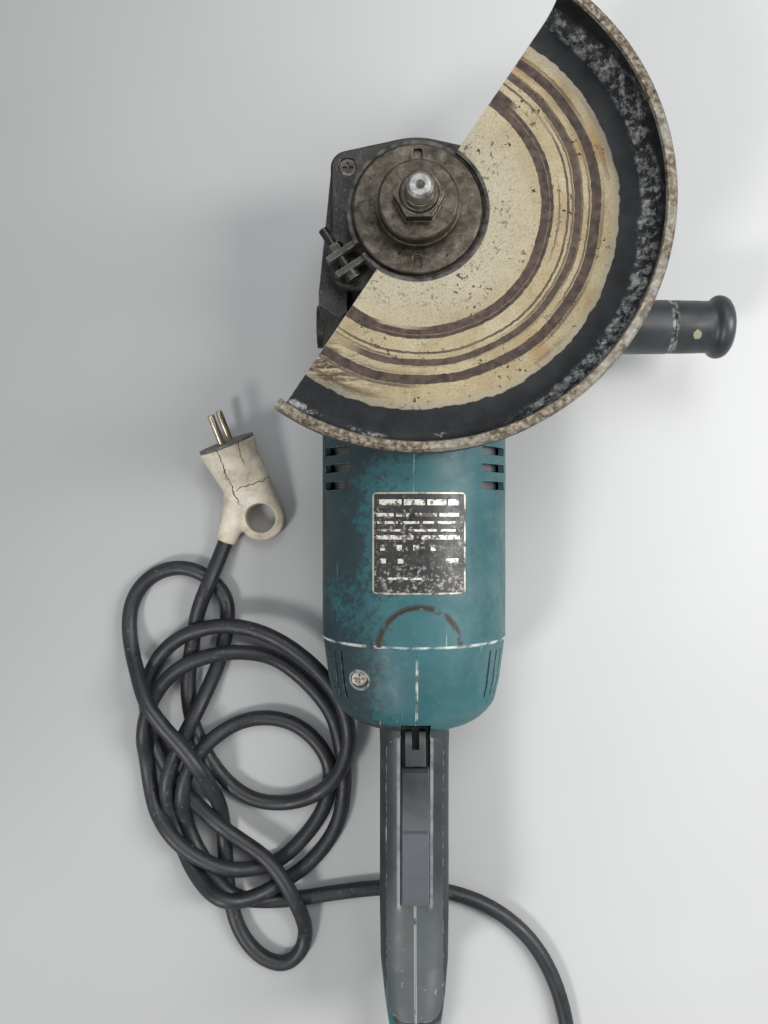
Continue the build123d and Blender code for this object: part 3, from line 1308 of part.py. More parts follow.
# The pile: a tall oval of turns, a loop beside its far corner and a loop below it.
PILE_HEIGHT = 29.0
PILE_OUTLINE = [
    (-155, -183),
    (-132, -185),
    (-117, -201),
    (-103, -215),
    (-82, -220),
    (-56, -238),
    (-38, -262),
    (-31, -290),
    (-35, -330),
    (-50, -366),
    (-59, -392),
    (-60, -420),
    (-70, -438),
    (-85, -442),
    (-103, -434),
    (-116, -412),
    (-122, -394),
    (-141, -378),
    (-153, -348),
    (-160, -310),
    (-172, -276),
    (-179, -248),
    (-182, -220),
    (-174, -196),
]
PILE_OPENINGS = [
    ((-90, -308), 29, 15),
    ((-92, -262), 20, 9),
    ((-151, -212), 15, 12),
    ((-88, -415), 11, 12),
]

with BuildPart() as cord_coil:
    with BuildSketch(level(0.1)):
        with BuildLine():
            Spline(*PILE_OUTLINE, periodic=True)
        make_face()
        for middle, half_width, half_length in PILE_OPENINGS:
            with Locations(middle):
                Ellipse(half_width, half_length, mode=Mode.SUBTRACT)
    extrude(amount=PILE_HEIGHT - 0.1)
    turned_on_motor(
        [
            (-200, 0),
            (-200, MOTOR_RADIUS + 2),
            (-248, MOTOR_RADIUS - 1),
            (-262, MOTOR_RADIUS - 4),
            (-276, 24),
            (-276, 0),
        ],
        mode=Mode.SUBTRACT,
    )
finish(cord_coil, "cord_coil")

# ---------------------------------------------------------------- plug
PLUG_FACE_RADIUS = 18.0
PLUG_BACK_RADIUS = 10.5
PLUG_LENGTH = 38.0
PLUG_HEADING = 20.0          # the way from the face to the back, from -Y towards +X
PLUG_TILT = 12.0             # the face end stands higher than the back
PLUG_FACE_AT = (-112.9, -112.6, 18.5)
PIN_RADIUS = 2.2
PIN_LENGTH = 19.0
PIN_PLACES = [(1.4, 9.4), (-1.4, -9.4)]
RING_AT = (-92.9, -157.5)
RING_RADIUS = 14.5
RING_HOLE_RADIUS = 9.0
RING_BOTTOM = 1.0
RING_THICKNESS = 11.0
heading = radians(PLUG_HEADING)
tilt = radians(PLUG_TILT)
plug_front = Vector(-sin(heading) * cos(tilt), cos(heading) * cos(tilt), sin(tilt))
plug_plane = Plane(origin=PLUG_FACE_AT, x_dir=(-cos(heading), -sin(heading), 0), z_dir=plug_front)
cord_leaves = Vector(*CORD_TO_PLUG[-1]) - Vector(*CORD_TO_PLUG[-2])
neck_end = Plane(origin=CORD_TO_PLUG[-1], z_dir=cord_leaves)

with BuildPart() as plug_body:
    with BuildSketch(plug_plane) as plug_front_section:
        Circle(PLUG_FACE_RADIUS)
    with BuildSketch(plug_plane.offset(-PLUG_LENGTH)) as plug_back_section:
        Circle(PLUG_BACK_RADIUS)
    loft([plug_front_section.sketch, plug_back_section.sketch])
    with BuildSketch(level(RING_BOTTOM)) as ring_plan:
        with Locations(RING_AT):
            Circle(RING_RADIUS)
        with Locations((-103.5, -141)):
            Circle(10)
        make_hull()
    extrude(ring_plan.sketch, amount=RING_THICKNESS)
    with BuildSketch(neck_end) as neck_tip:
        Circle(CORD_RADIUS + 1.2)
    with BuildSketch(neck_end.offset(27)) as neck_root:
        Circle(9)
    loft([neck_tip.sketch, neck_root.sketch])
    bar(level(-1), 40, RING_HOLE_RADIUS, [RING_AT], mode=Mode.SUBTRACT)
    block(level(-40), 40, 400, 400, [(-100, -150)], mode=Mode.SUBTRACT)
finish(plug_body, "plug_body")

with BuildPart() as plug_face:
    bar(plug_plane, 1.5, PLUG_FACE_RADIUS - 0.8)
    bar(plug_plane, 10, PIN_RADIUS, PIN_PLACES, mode=Mode.SUBTRACT)
    block(level(-40), 40, 400, 400, [(-100, -150)], mode=Mode.SUBTRACT)
finish(plug_face, "plug_face")

with BuildPart() as plug_pins:
    bar(plug_plane, PIN_LENGTH + 1.5, PIN_RADIUS, PIN_PLACES)
    fillet(plug_pins.edges().sort_by(Axis((0, 0, 0), plug_front))[-2:], radius=1.0)
finish(plug_pins, "plug_pins")
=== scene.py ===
import json
from math import cos, pi, radians, sin, sqrt

import bmesh
import bpy
from mathutils import Matrix, Vector
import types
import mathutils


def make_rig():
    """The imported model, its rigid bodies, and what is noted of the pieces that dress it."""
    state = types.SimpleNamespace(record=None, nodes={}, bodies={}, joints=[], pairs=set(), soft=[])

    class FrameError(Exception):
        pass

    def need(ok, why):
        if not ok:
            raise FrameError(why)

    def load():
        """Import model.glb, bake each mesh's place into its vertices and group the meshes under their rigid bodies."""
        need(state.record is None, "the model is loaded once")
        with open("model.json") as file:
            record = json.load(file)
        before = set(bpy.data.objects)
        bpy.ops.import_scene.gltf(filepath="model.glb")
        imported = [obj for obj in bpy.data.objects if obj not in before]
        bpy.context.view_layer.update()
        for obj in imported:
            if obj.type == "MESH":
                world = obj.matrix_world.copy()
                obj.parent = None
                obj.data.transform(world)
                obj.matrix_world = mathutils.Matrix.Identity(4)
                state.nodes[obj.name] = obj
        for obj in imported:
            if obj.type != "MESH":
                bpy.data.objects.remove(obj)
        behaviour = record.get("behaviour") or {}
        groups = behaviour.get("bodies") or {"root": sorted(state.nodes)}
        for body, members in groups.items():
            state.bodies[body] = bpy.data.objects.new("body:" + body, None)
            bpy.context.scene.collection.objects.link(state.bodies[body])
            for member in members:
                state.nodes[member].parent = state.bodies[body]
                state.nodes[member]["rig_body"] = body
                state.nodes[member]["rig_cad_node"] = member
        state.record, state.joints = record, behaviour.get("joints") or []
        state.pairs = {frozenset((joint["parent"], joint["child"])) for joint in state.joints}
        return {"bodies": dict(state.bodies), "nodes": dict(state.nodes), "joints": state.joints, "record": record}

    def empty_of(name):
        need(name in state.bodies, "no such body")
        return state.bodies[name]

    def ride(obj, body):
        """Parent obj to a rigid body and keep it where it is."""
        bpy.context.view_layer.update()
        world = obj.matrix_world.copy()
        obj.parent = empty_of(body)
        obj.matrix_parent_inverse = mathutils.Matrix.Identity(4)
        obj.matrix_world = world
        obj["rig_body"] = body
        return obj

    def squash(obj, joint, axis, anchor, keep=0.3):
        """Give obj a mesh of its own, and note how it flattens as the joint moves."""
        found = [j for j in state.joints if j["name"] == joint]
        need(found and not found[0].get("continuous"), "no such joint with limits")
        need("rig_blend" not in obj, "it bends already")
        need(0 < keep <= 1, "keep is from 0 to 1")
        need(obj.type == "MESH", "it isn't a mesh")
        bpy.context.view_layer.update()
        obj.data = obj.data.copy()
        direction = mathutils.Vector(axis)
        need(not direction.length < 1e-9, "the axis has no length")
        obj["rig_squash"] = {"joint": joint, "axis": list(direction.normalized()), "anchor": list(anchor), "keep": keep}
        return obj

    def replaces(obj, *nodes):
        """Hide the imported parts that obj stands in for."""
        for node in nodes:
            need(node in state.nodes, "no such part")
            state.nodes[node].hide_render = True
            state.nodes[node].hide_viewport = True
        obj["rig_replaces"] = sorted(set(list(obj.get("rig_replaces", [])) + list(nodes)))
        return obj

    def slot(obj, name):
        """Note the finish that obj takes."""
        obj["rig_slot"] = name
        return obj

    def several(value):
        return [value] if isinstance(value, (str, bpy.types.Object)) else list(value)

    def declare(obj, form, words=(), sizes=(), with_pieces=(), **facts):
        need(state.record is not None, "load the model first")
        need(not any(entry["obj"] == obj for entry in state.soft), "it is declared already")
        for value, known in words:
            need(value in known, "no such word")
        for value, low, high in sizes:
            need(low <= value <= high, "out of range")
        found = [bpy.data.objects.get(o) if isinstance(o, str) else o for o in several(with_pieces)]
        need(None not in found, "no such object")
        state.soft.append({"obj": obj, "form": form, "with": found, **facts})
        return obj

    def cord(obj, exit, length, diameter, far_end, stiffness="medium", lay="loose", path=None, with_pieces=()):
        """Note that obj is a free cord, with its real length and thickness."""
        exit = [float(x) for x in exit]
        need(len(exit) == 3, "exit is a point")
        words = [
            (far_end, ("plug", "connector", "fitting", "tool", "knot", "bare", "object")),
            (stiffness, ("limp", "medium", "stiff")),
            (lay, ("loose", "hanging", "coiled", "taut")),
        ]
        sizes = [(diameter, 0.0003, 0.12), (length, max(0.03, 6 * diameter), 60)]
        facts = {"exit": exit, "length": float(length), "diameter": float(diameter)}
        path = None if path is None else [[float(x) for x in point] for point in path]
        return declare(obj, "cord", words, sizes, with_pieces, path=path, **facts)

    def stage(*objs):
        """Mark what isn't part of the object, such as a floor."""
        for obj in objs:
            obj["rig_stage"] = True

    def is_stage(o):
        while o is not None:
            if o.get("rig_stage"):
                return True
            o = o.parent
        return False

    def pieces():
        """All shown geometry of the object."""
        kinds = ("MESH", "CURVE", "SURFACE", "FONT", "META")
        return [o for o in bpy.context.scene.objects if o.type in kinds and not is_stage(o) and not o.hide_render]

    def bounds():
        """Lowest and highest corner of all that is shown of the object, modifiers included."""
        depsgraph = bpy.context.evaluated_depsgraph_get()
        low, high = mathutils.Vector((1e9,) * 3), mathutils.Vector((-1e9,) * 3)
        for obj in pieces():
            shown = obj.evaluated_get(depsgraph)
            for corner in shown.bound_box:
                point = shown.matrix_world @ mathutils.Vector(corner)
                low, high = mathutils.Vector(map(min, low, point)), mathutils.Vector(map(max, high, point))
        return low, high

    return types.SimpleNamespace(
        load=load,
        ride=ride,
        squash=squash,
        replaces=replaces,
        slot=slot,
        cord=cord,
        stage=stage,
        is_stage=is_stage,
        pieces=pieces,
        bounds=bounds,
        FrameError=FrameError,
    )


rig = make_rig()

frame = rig.load()
start_low, start_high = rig.bounds()
scene = bpy.context.scene
scene.view_settings.view_transform = "Standard"

# ---------------------------------------------------------------- places on the tool, in metres
MOTOR_AXIS_Z = 0.052
JOINT_Y = -0.2238                # where the motor housing meets the handle
SIDE_HANDLE_Y = -0.0476
SIDE_HANDLE_Z = 0.05
SIDE_HANDLE_SEAM_X = 0.146
PLATE_RADIUS = 0.0525            # of the plate's face, about the motor's axis
GUARD_RIM_FOOT = 0.1185          # radius at which the flat of the guard turns up into its rim
GUARD_OUTSIDE = 0.1243

# ---------------------------------------------------------------- camera
CAMERA_PLACE = (-0.017, -0.1538, 0.55)
LENS = 30.59
SENSOR = 36.0

camera_data = bpy.data.cameras.new("camera")
camera_data.lens = LENS
camera_data.sensor_width = SENSOR
camera = bpy.data.objects.new("camera", camera_data)
camera.location = CAMERA_PLACE
scene.collection.objects.link(camera)
scene.camera = camera

# ---------------------------------------------------------------- cord
# Millimetres. Each pile point is x, y and how many cords lie under it.
CORD_RADIUS = 4.65
CORD_LIFT = 4.75
CORD_LEVEL = 9.4
CORD_TO_COIL = [
    (0, -484, 31), (-2, -507, 28), (-7, -534, 18), (-12, -564, 7.5), (2, -591, 4.75), (28, -606, 4.75),
    (58, -606, 4.75), (84, -591, 4.75), (100, -565, 4.75), (104, -532, 4.75), (100.5, -495, 4.75),
    (94, -455, 4.75), (77, -422, 4.75), (50, -400, 4.75), (18, -389.5, 4.75), (-17, -388.5, 4.75),
    (-50, -392.5, 4.75),
]
CORD_PILE = [
    (-70, -396, 0), (-90, -397.5, 0), (-106, -392.5, 0.9), (-117, -384.5, 1.1), (-128, -373, 0.2),
    (-137, -359, 0), (-141.5, -345, 0.1), (-142, -330, 1.05), (-139, -315, 1.05), (-132, -303, 1.05),
    (-122, -293, 0.6), (-108, -285, 0), (-91, -282, 0), (-74, -285.5, 0), (-61, -295, 0), (-52, -308, 0),
    (-50, -322, 0), (-54, -338, 0), (-61, -350, 0), (-71, -362, 0), (-83, -372.5, 0), (-98, -377, 0.1),
    (-112, -374.5, 1.0), (-126, -369.5, 1.1), (-140, -361, 1.1), (-150, -351, 1.05), (-159, -340, 0.4),
    (-163.5, -325, 0), (-165.5, -308, 0.1), (-165.5, -293, 1.05), (-163, -277, 1.05), (-157, -264, 0.95),
    (-147, -252.5, 1.0), (-134, -245, 1.1), (-118, -240.5, 1.1), (-102, -240.5, 0.6), (-86, -244.5, 0.1),
    (-71, -255, 0), (-58, -268, 0), (-49, -281, 0), (-44.5, -297, 0), (-42, -313, 0), (-42, -330, 0),
    (-45, -347, 0), (-53, -362, 0), (-65, -375, 0), (-79, -384.5, 0.1), (-95, -391, 0.9),
    (-111, -390.5, 2.05), (-124, -386, 1.5), (-136, -376, 0.5), (-144, -362, 0), (-149, -345, 0),
    (-151.5, -330, 0.8), (-150.5, -317, 1.05), (-145, -302, 0.95), (-139.5, -290.5, 1.1),
    (-133, -278, 0.9), (-126.5, -263, 0.2), (-121, -250, 0), (-117.5, -237, 0), (-115, -223, 0),
    (-115, -210, 0), (-120.5, -200.5, 0), (-130, -192.5, 0), (-143, -188, 0), (-157, -190.5, 0),
    (-168.5, -198.5, 0), (-175.5, -211, 0), (-177, -226, 0), (-174, -241, 0.3), (-168.5, -254, 1.1),
    (-161, -270, 2.05), (-151, -283.5, 2.05), (-140, -295, 2.1), (-130, -308, 2.1), (-123, -323, 1.2),
    (-119, -336, 0.4), (-117.5, -350, 0), (-116.5, -366, 0), (-115.5, -382, 0), (-113, -398, 0),
    (-109, -413, 0), (-101.5, -425.5, 0), (-91, -434.5, 0), (-79, -437.5, 0), (-69, -430, 0),
    (-65.5, -417, 0), (-68, -402, 0.8), (-74, -388.5, 1.15), (-81, -376.5, 1.15), (-91, -365.5, 1.0),
    (-105, -356.5, 0.9), (-119, -346, 1.1), (-131, -337, 0.6), (-143, -327.5, 0), (-152, -316, 0),
    (-158.5, -302, 0), (-164, -286, 0), (-167, -270, 0), (-164, -255, 0), (-155.5, -241, 0.2),
    (-143, -231, 0.8), (-131, -226, 1.1), (-115, -223, 1.2), (-98, -225, 1.4), (-80, -232, 1.7),
    (-64.5, -243, 1.7), (-52, -256, 1.5), (-43, -270, 1.3), (-38.5, -286, 1.1), (-39, -301, 1.05),
    (-45, -316, 1.05), (-56, -326.5, 1.0), (-70, -334, 0.3), (-84, -336.5, 0), (-98, -334.5, 0),
    (-111, -327, 0), (-121.5, -316, 0), (-129.5, -303.5, 0), (-135.5, -290.5, 0), (-139, -277, 0),
    (-140, -262, 0), (-138.5, -246, 0), (-136, -230, 0), (-132.5, -216, 0.7),
]
CORD_TO_PLUG = [(-126.5, -201.5, 15.5), (-121, -187, 10.5), (-115.6, -172.4, 8.0)]

cord_points = list(CORD_TO_COIL)
for x, y, level in CORD_PILE:
    cord_points.append((x, y, CORD_LIFT + CORD_LEVEL * level))
cord_points += CORD_TO_PLUG

cord_curve = bpy.data.curves.new("cord", "CURVE")
cord_curve.dimensions = "3D"
cord_curve.resolution_u = 6
cord_curve.bevel_depth = 1.0
cord_curve.bevel_resolution = 5
cord_curve.use_fill_caps = True
spline = cord_curve.splines.new("NURBS")
spline.points.add(len(cord_points) - 1)
for point, (x, y, z) in zip(spline.points, cord_points):
    point.co = (x / 1000, y / 1000, z / 1000, 1.0)
    point.radius = CORD_RADIUS / 1000
spline.order_u = 3
spline.use_endpoint_u = True
cord = bpy.data.objects.new("cord", cord_curve)
scene.collection.objects.link(cord)
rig.ride(cord, "root")
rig.replaces(cord, "cord_to_coil", "cord_coil", "cord_to_plug")
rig.slot(cord, "cord_rubber")


# ---------------------------------------------------------------- shader helper
class Shader:
    """A Principled material whose inputs are joined up by name."""

    def __init__(self, name, roughness=0.5, metallic=0.0):
        self.material = bpy.data.materials.new(name)
        self.material.use_nodes = True
        self.nodes = self.material.node_tree.nodes
        self.links = self.material.node_tree.links
        self.surface = self.nodes["Principled BSDF"]
        self.surface.inputs["Roughness"].default_value = roughness
        self.surface.inputs["Metallic"].default_value = metallic
        self.place = self.nodes.new("ShaderNodeTexCoord").outputs["Object"]
        self.split = None

    def join(self, source, socket):
        if isinstance(source, (int, float)):
            socket.default_value = source
        elif isinstance(source, tuple):
            socket.default_value = (*source, 1.0)
        else:
            self.links.new(source, socket)

    def put(self, name, source):
        self.join(source, self.surface.inputs[name])

    def axis(self, letter):
        if self.split is None:
            self.split = self.nodes.new("ShaderNodeSeparateXYZ")
            self.links.new(self.place, self.split.inputs[0])
        return self.split.outputs[letter]

    def moved(self, shift=(0, 0, 0), scale=(1, 1, 1), turn=(0, 0, 0)):
        node = self.nodes.new("ShaderNodeMapping")
        self.links.new(self.place, node.inputs["Vector"])
        node.inputs["Location"].default_value = shift
        node.inputs["Rotation"].default_value = turn
        node.inputs["Scale"].default_value = scale
        return node.outputs["Vector"]

    def noise(self, scale, detail=5.0, rough=0.55, vector=None):
        node = self.nodes.new("ShaderNodeTexNoise")
        self.links.new(self.place if vector is None else vector, node.inputs["Vector"])
        node.inputs["Scale"].default_value = scale
        node.inputs["Detail"].default_value = detail
        node.inputs["Roughness"].default_value = rough
        return node.outputs["Fac"]

    def crazing(self, scale):
        """The distance to the nearest edge of a net of cells."""
        node = self.nodes.new("ShaderNodeTexVoronoi")
        node.feature = "DISTANCE_TO_EDGE"
        self.links.new(self.place, node.inputs["Vector"])
        node.inputs["Scale"].default_value = scale
        return node.outputs["Distance"]

    def ramp(self, source, *stops):
        node = self.nodes.new("ShaderNodeValToRGB")
        self.links.new(source, node.inputs["Fac"])
        marks = node.color_ramp.elements
        while len(marks) < len(stops):
            marks.new(0.5)
        for mark, (at, value) in zip(marks, stops):
            mark.position = at
            mark.color = (value, value, value, 1.0) if isinstance(value, (int, float)) else (*value, 1.0)
        return node.outputs["Color"]

    def mix(self, share, first, second):
        node = self.nodes.new("ShaderNodeMix")
        node.data_type = "RGBA"
        self.join(share, node.inputs["Factor"])
        self.join(first, node.inputs[6])
        self.join(second, node.inputs[7])
        return node.outputs[2]

    def sum(self, operation, first, second=0.0):
        node = self.nodes.new("ShaderNodeMath")
        node.operation = operation
        self.join(first, node.inputs[0])
        self.join(second, node.inputs[1])
        return node.outputs[0]

    def within(self, source, centre, half, soft):
        """One where the source is within half of the centre, falling to nothing over soft."""
        away = self.sum("ABSOLUTE", self.sum("SUBTRACT", source, centre))
        node = self.nodes.new("ShaderNodeMapRange")
        node.interpolation_type = "SMOOTHSTEP"
        self.links.new(away, node.inputs["Value"])
        node.inputs["From Min"].default_value = half
        node.inputs["From Max"].default_value = half + soft
        node.inputs["To Min"].default_value = 1.0
        node.inputs["To Max"].default_value = 0.0
        return node.outputs["Result"]

    def rise(self, source, start, end):
        node = self.nodes.new("ShaderNodeMapRange")
        node.interpolation_type = "SMOOTHSTEP"
        self.links.new(source, node.inputs["Value"])
        node.inputs["From Min"].default_value = start
        node.inputs["From Max"].default_value = end
        return node.outputs["Result"]

    def from_centre(self, centre, mask=(1, 1, 0)):
        """The distance from a line or point, the axes off the mask left out."""
        shifted = self.nodes.new("ShaderNodeVectorMath")
        shifted.operation = "SUBTRACT"
        self.links.new(self.place, shifted.inputs[0])
        shifted.inputs[1].default_value = centre
        kept = self.nodes.new("ShaderNodeVectorMath")
        kept.operation = "MULTIPLY"
        self.links.new(shifted.outputs[0], kept.inputs[0])
        kept.inputs[1].default_value = mask
        length = self.nodes.new("ShaderNodeVectorMath")
        length.operation = "LENGTH"
        self.links.new(kept.outputs[0], length.inputs[0])
        return length.outputs["Value"]

    def edge(self, radius, low=0.02, high=0.25):
        """Brighter near an edge of the solid."""
        rounded = self.nodes.new("ShaderNodeBevel")
        rounded.samples = 4
        rounded.inputs["Radius"].default_value = radius
        plain = self.nodes.new("ShaderNodeNewGeometry").outputs["Normal"]
        dot = self.nodes.new("ShaderNodeVectorMath")
        dot.operation = "DOT_PRODUCT"
        self.links.new(rounded.outputs[0], dot.inputs[0])
        self.links.new(plain, dot.inputs[1])
        return self.rise(self.sum("SUBTRACT", 1.0, dot.outputs["Value"]), low, high)

    def relief(self, height, distance, strength=1.0, radius=0.0004):
        """A bump over a slightly rounded edge."""
        node = self.nodes.new("ShaderNodeBump")
        node.inputs["Strength"].default_value = strength
        node.inputs["Distance"].default_value = distance
        self.links.new(height, node.inputs["Height"])
        if radius > 0:
            rounded = self.nodes.new("ShaderNodeBevel")
            rounded.samples = 4
            rounded.inputs["Radius"].default_value = radius
            self.links.new(rounded.outputs[0], node.inputs["Normal"])
        self.links.new(node.outputs["Normal"], self.surface.inputs["Normal"])


SCRATCH_TURNS = ((0, 0, 0.5), (0, 0, -1.1), (0.4, 0, 2.2))


def scratches(shader, amount, turns=SCRATCH_TURNS):
    """Thin straight scratches in several directions, as a mask."""
    total = None
    for number, turn in enumerate(turns):
        stretched = shader.moved((number * 3.1, number * 1.7, 0), (420, 9, 60), turn)
        line = shader.noise(1.0, 2.0, 0.5, stretched)
        mask = shader.rise(line, 0.735 - amount, 0.76 - amount)
        patch = shader.rise(shader.noise(35 + 9 * number, 2.0), 0.5, 0.62)
        mask = shader.sum("MULTIPLY", mask, patch)
        total = mask if total is None else shader.sum("MAXIMUM", total, mask)
    return total


# ---------------------------------------------------------------- materials
def make_teal():
    s = Shader("teal_plastic")
    tone = s.ramp(s.noise(22, 6), (0.25, (0.012, 0.062, 0.072)), (0.55, (0.020, 0.098, 0.112)),
                  (0.8, (0.032, 0.128, 0.142)))
    # Painted sheen and dust lighten the right flank.
    dust_and_sheen = s.sum("MULTIPLY", s.rise(s.axis("X"), -0.020, 0.045), s.rise(s.noise(34, 7, 0.7), 0.36, 0.66))
    tone = s.mix(s.sum("MULTIPLY", dust_and_sheen, 0.45), tone, (0.115, 0.185, 0.185))
    # Grime gathers ahead of the joint, in speckles, and painted shade darkens the left flank in the same speckled mix.
    left = s.rise(s.axis("X"), 0.012, -0.050)
    front = s.rise(s.axis("Y"), -0.175, -0.085)
    speckle = s.noise(260, 6, 0.7)
    cloud = s.noise(28, 5)
    reach = s.sum("ADD", s.sum("MULTIPLY", left, 0.27), s.sum("MULTIPLY", front, 0.10))
    grime_and_shade = s.sum("ADD", s.sum("MULTIPLY", speckle, 0.5), s.sum("MULTIPLY", cloud, 0.5))
    grime_and_shade = s.rise(s.sum("ADD", grime_and_shade, reach), 0.60, 0.72)
    colour = s.mix(s.sum("MULTIPLY", grime_and_shade, 0.8), tone, (0.014, 0.020, 0.024))
    # The grip is dark up to its teal end, whose edge climbs on the left.
    climb = s.sum("MULTIPLY", s.rise(s.axis("X"), -0.0105, -0.0190), 0.024)
    grip = s.rise(s.sum("SUBTRACT", s.axis("Y"), climb), -0.4292, -0.4286)
    throat = s.sum("ADD", s.axis("Y"), s.sum("MULTIPLY", s.rise(s.axis("X"), 0.0, 0.030), 0.010))
    grip = s.sum("MULTIPLY", grip, s.rise(throat, -0.2665, -0.2685))
    grip = s.sum("MULTIPLY", grip, s.rise(s.axis("Z"), 0.034, 0.040))
    charcoal = s.ramp(s.noise(70, 6), (0.3, (0.014, 0.017, 0.019)), (0.7, (0.032, 0.040, 0.044)))
    colour = s.mix(grip, colour, charcoal)
    lines = scratches(s, 0.016)
    worn = s.edge(0.0007, 0.05, 0.35)
    chips = s.rise(s.noise(420, 3), 0.48, 0.62)
    worn = s.sum("MULTIPLY", worn, s.sum("MULTIPLY", chips, 0.75))
    specks = s.rise(s.noise(620, 2), 0.735, 0.775)
    # Pale dust in the joint, along the handle's centre line and round the screw recess.
    joint = s.within(s.axis("Y"), JOINT_Y, 0.0004, 0.0007)
    joint = s.sum("MULTIPLY", joint, s.rise(s.noise(90, 5), 0.38, 0.6))
    seam = s.within(s.axis("X"), 0.0, 0.00025, 0.0006)
    seam = s.sum("MULTIPLY", seam, s.rise(s.noise(120, 5), 0.4, 0.6))
    seam = s.sum("MULTIPLY", seam, s.rise(s.axis("Y"), -0.222, -0.226))
    recess = s.rise(s.from_centre((-0.030, -0.2425, 0.0)), 0.0062, 0.0040)
    recess = s.sum("MULTIPLY", recess, s.sum("MULTIPLY", s.rise(s.noise(300, 5), 0.30, 0.55),
                                              s.rise(s.axis("Z"), 0.05, 0.06)))
    dust = s.sum("MAXIMUM", s.sum("MAXIMUM", joint, seam), s.sum("MAXIMUM", recess, worn))
    dust = s.sum("MAXIMUM", dust, s.sum("MULTIPLY", s.sum("MAXIMUM", lines, specks), 0.55))
    colour = s.mix(dust, colour, (0.50, 0.53, 0.50))
    # Brown dirt round the boss ahead of the joint.
    boss = s.from_centre((0.0015, -0.224, 0.0))
    ring = s.sum("MULTIPLY", s.within(boss, 0.0212, 0.0007, 0.0016), s.rise(s.axis("Y"), -0.2245, -0.2235))
    ring = s.sum("MULTIPLY", ring, s.rise(s.noise(200, 5), 0.35, 0.5))
    colour = s.mix(ring, colour, (0.030, 0.022, 0.015))
    s.put("Base Color", colour)
    s.put("Roughness", s.ramp(s.noise(140, 5), (0.3, 0.44), (0.7, 0.60)))
    s.put("Specular IOR Level", 0.42)
    s.relief(s.noise(1500, 3), 0.00012, 0.35)
    return s.material


def make_casting():
    s = Shader("gear_casting")
    tone = s.ramp(s.noise(60, 7, 0.65), (0.3, (0.007, 0.007, 0.007)), (0.55, (0.021, 0.020, 0.018)),
                  (0.75, (0.060, 0.056, 0.048)))
    worn = s.sum("MULTIPLY", s.edge(0.0010, 0.04, 0.3), s.rise(s.noise(260, 4), 0.42, 0.58))
    grit = s.rise(s.noise(700, 3), 0.62, 0.70)
    pale = s.sum("MAXIMUM", s.sum("MULTIPLY", worn, 0.8), s.sum("MULTIPLY", grit, 0.3))
    colour = s.mix(pale, tone, (0.24, 0.225, 0.195))
    s.put("Base Color", colour)
    s.put("Roughness", s.ramp(s.noise(120, 4), (0.3, 0.28), (0.7, 0.65)))
    s.put("Metallic", 0.35)
    s.relief(s.noise(420, 6, 0.6), 0.0005, 0.7)
    return s.material


def make_oily_steel():
    s = Shader("oily_steel", metallic=0.85)
    tone = s.ramp(s.noise(190, 8, 0.68), (0.28, (0.018, 0.014, 0.010)), (0.5, (0.074, 0.063, 0.049)),
                  (0.75, (0.17, 0.152, 0.124)))
    grain = s.rise(s.noise(1300, 3, 0.6), 0.35, 0.65)
    tone = s.mix(s.sum("MULTIPLY", grain, 0.35), tone, (0.012, 0.010, 0.008))
    spots = s.rise(s.noise(240, 6, 0.7), 0.60, 0.66)
    lower = s.rise(s.axis("Y"), -0.008, -0.026)
    tone = s.mix(s.sum("MULTIPLY", spots, s.sum("ADD", s.sum("MULTIPLY", lower, 0.6), 0.3)), tone,
                 (0.014, 0.011, 0.009))
    worn = s.edge(0.0009, 0.04, 0.3)
    worn = s.sum("MULTIPLY", s.sum("MULTIPLY", worn, 0.8), s.rise(s.noise(210, 4), 0.38, 0.55))
    tone = s.mix(worn, tone, (0.36, 0.335, 0.285))
    tip = s.rise(s.axis("Z"), 0.1325, 0.1335)
    bright = s.ramp(s.noise(330, 5), (0.3, (0.13, 0.125, 0.115)), (0.6, (0.33, 0.325, 0.31)))
    tone = s.mix(tip, tone, bright)
    s.put("Base Color", tone)
    s.put("Roughness", s.ramp(s.noise(90, 5), (0.3, 0.36), (0.7, 0.58)))
    s.relief(s.noise(600, 6, 0.6), 0.00025, 0.6, 0.0007)
    return s.material


def make_steel():
    s = Shader("machined_steel", metallic=0.9)
    tone = s.ramp(s.noise(160, 5), (0.3, (0.016, 0.014, 0.012)), (0.55, (0.050, 0.046, 0.040)),
                  (0.8, (0.17, 0.16, 0.14)))
    worn = s.sum("MULTIPLY", s.edge(0.0006, 0.04, 0.3), s.rise(s.noise(260, 4), 0.40, 0.56))
    tone = s.mix(s.sum("MULTIPLY", worn, 0.8), tone, (0.38, 0.36, 0.32))
    s.put("Base Color", tone)
    s.put("Roughness", s.ramp(s.noise(200, 4), (0.3, 0.25), (0.7, 0.5)))
    s.relief(s.noise(900, 4), 0.0002, 0.5)
    return s.material


def make_plain_metal(name, dark, light, roughness):
    s = Shader(name, roughness=roughness, metallic=0.9)
    s.put("Base Color", s.ramp(s.noise(120, 5), (0.3, dark), (0.7, light)))
    s.relief(s.noise(700, 3), 0.0001, 0.4)
    return s.material


# Radius, half width and strength of each worn ring on the guard, and where its breaks start and end.
WORN_RINGS = [
    (0.0635, 0.0012, 1.0, 0.26, 0.36), (0.0660, 0.0008, 1.0, 0.30, 0.40), (0.0618, 0.0010, 1.0, 0.42, 0.52),
    (0.0770, 0.0003, 0.8, 0.48, 0.56), (0.0852, 0.0003, 0.8, 0.46, 0.56), (0.0992, 0.0007, 0.8, 0.50, 0.60),
    (0.0745, 0.0004, 0.9, 0.36, 0.50), (0.0796, 0.0016, 0.95, 0.28, 0.38), (0.0818, 0.0003, 0.8, 0.40, 0.55),
    (0.0886, 0.0023, 1.0, 0.20, 0.30), (0.0921, 0.0006, 0.8, 0.45, 0.55), (0.0945, 0.0009, 0.8, 0.52, 0.60),
    (0.0975, 0.0008, 0.7, 0.50, 0.62), (0.0520, 0.0003, 0.8, 0.56, 0.64), (0.0700, 0.0003, 0.8, 0.54, 0.62),
]


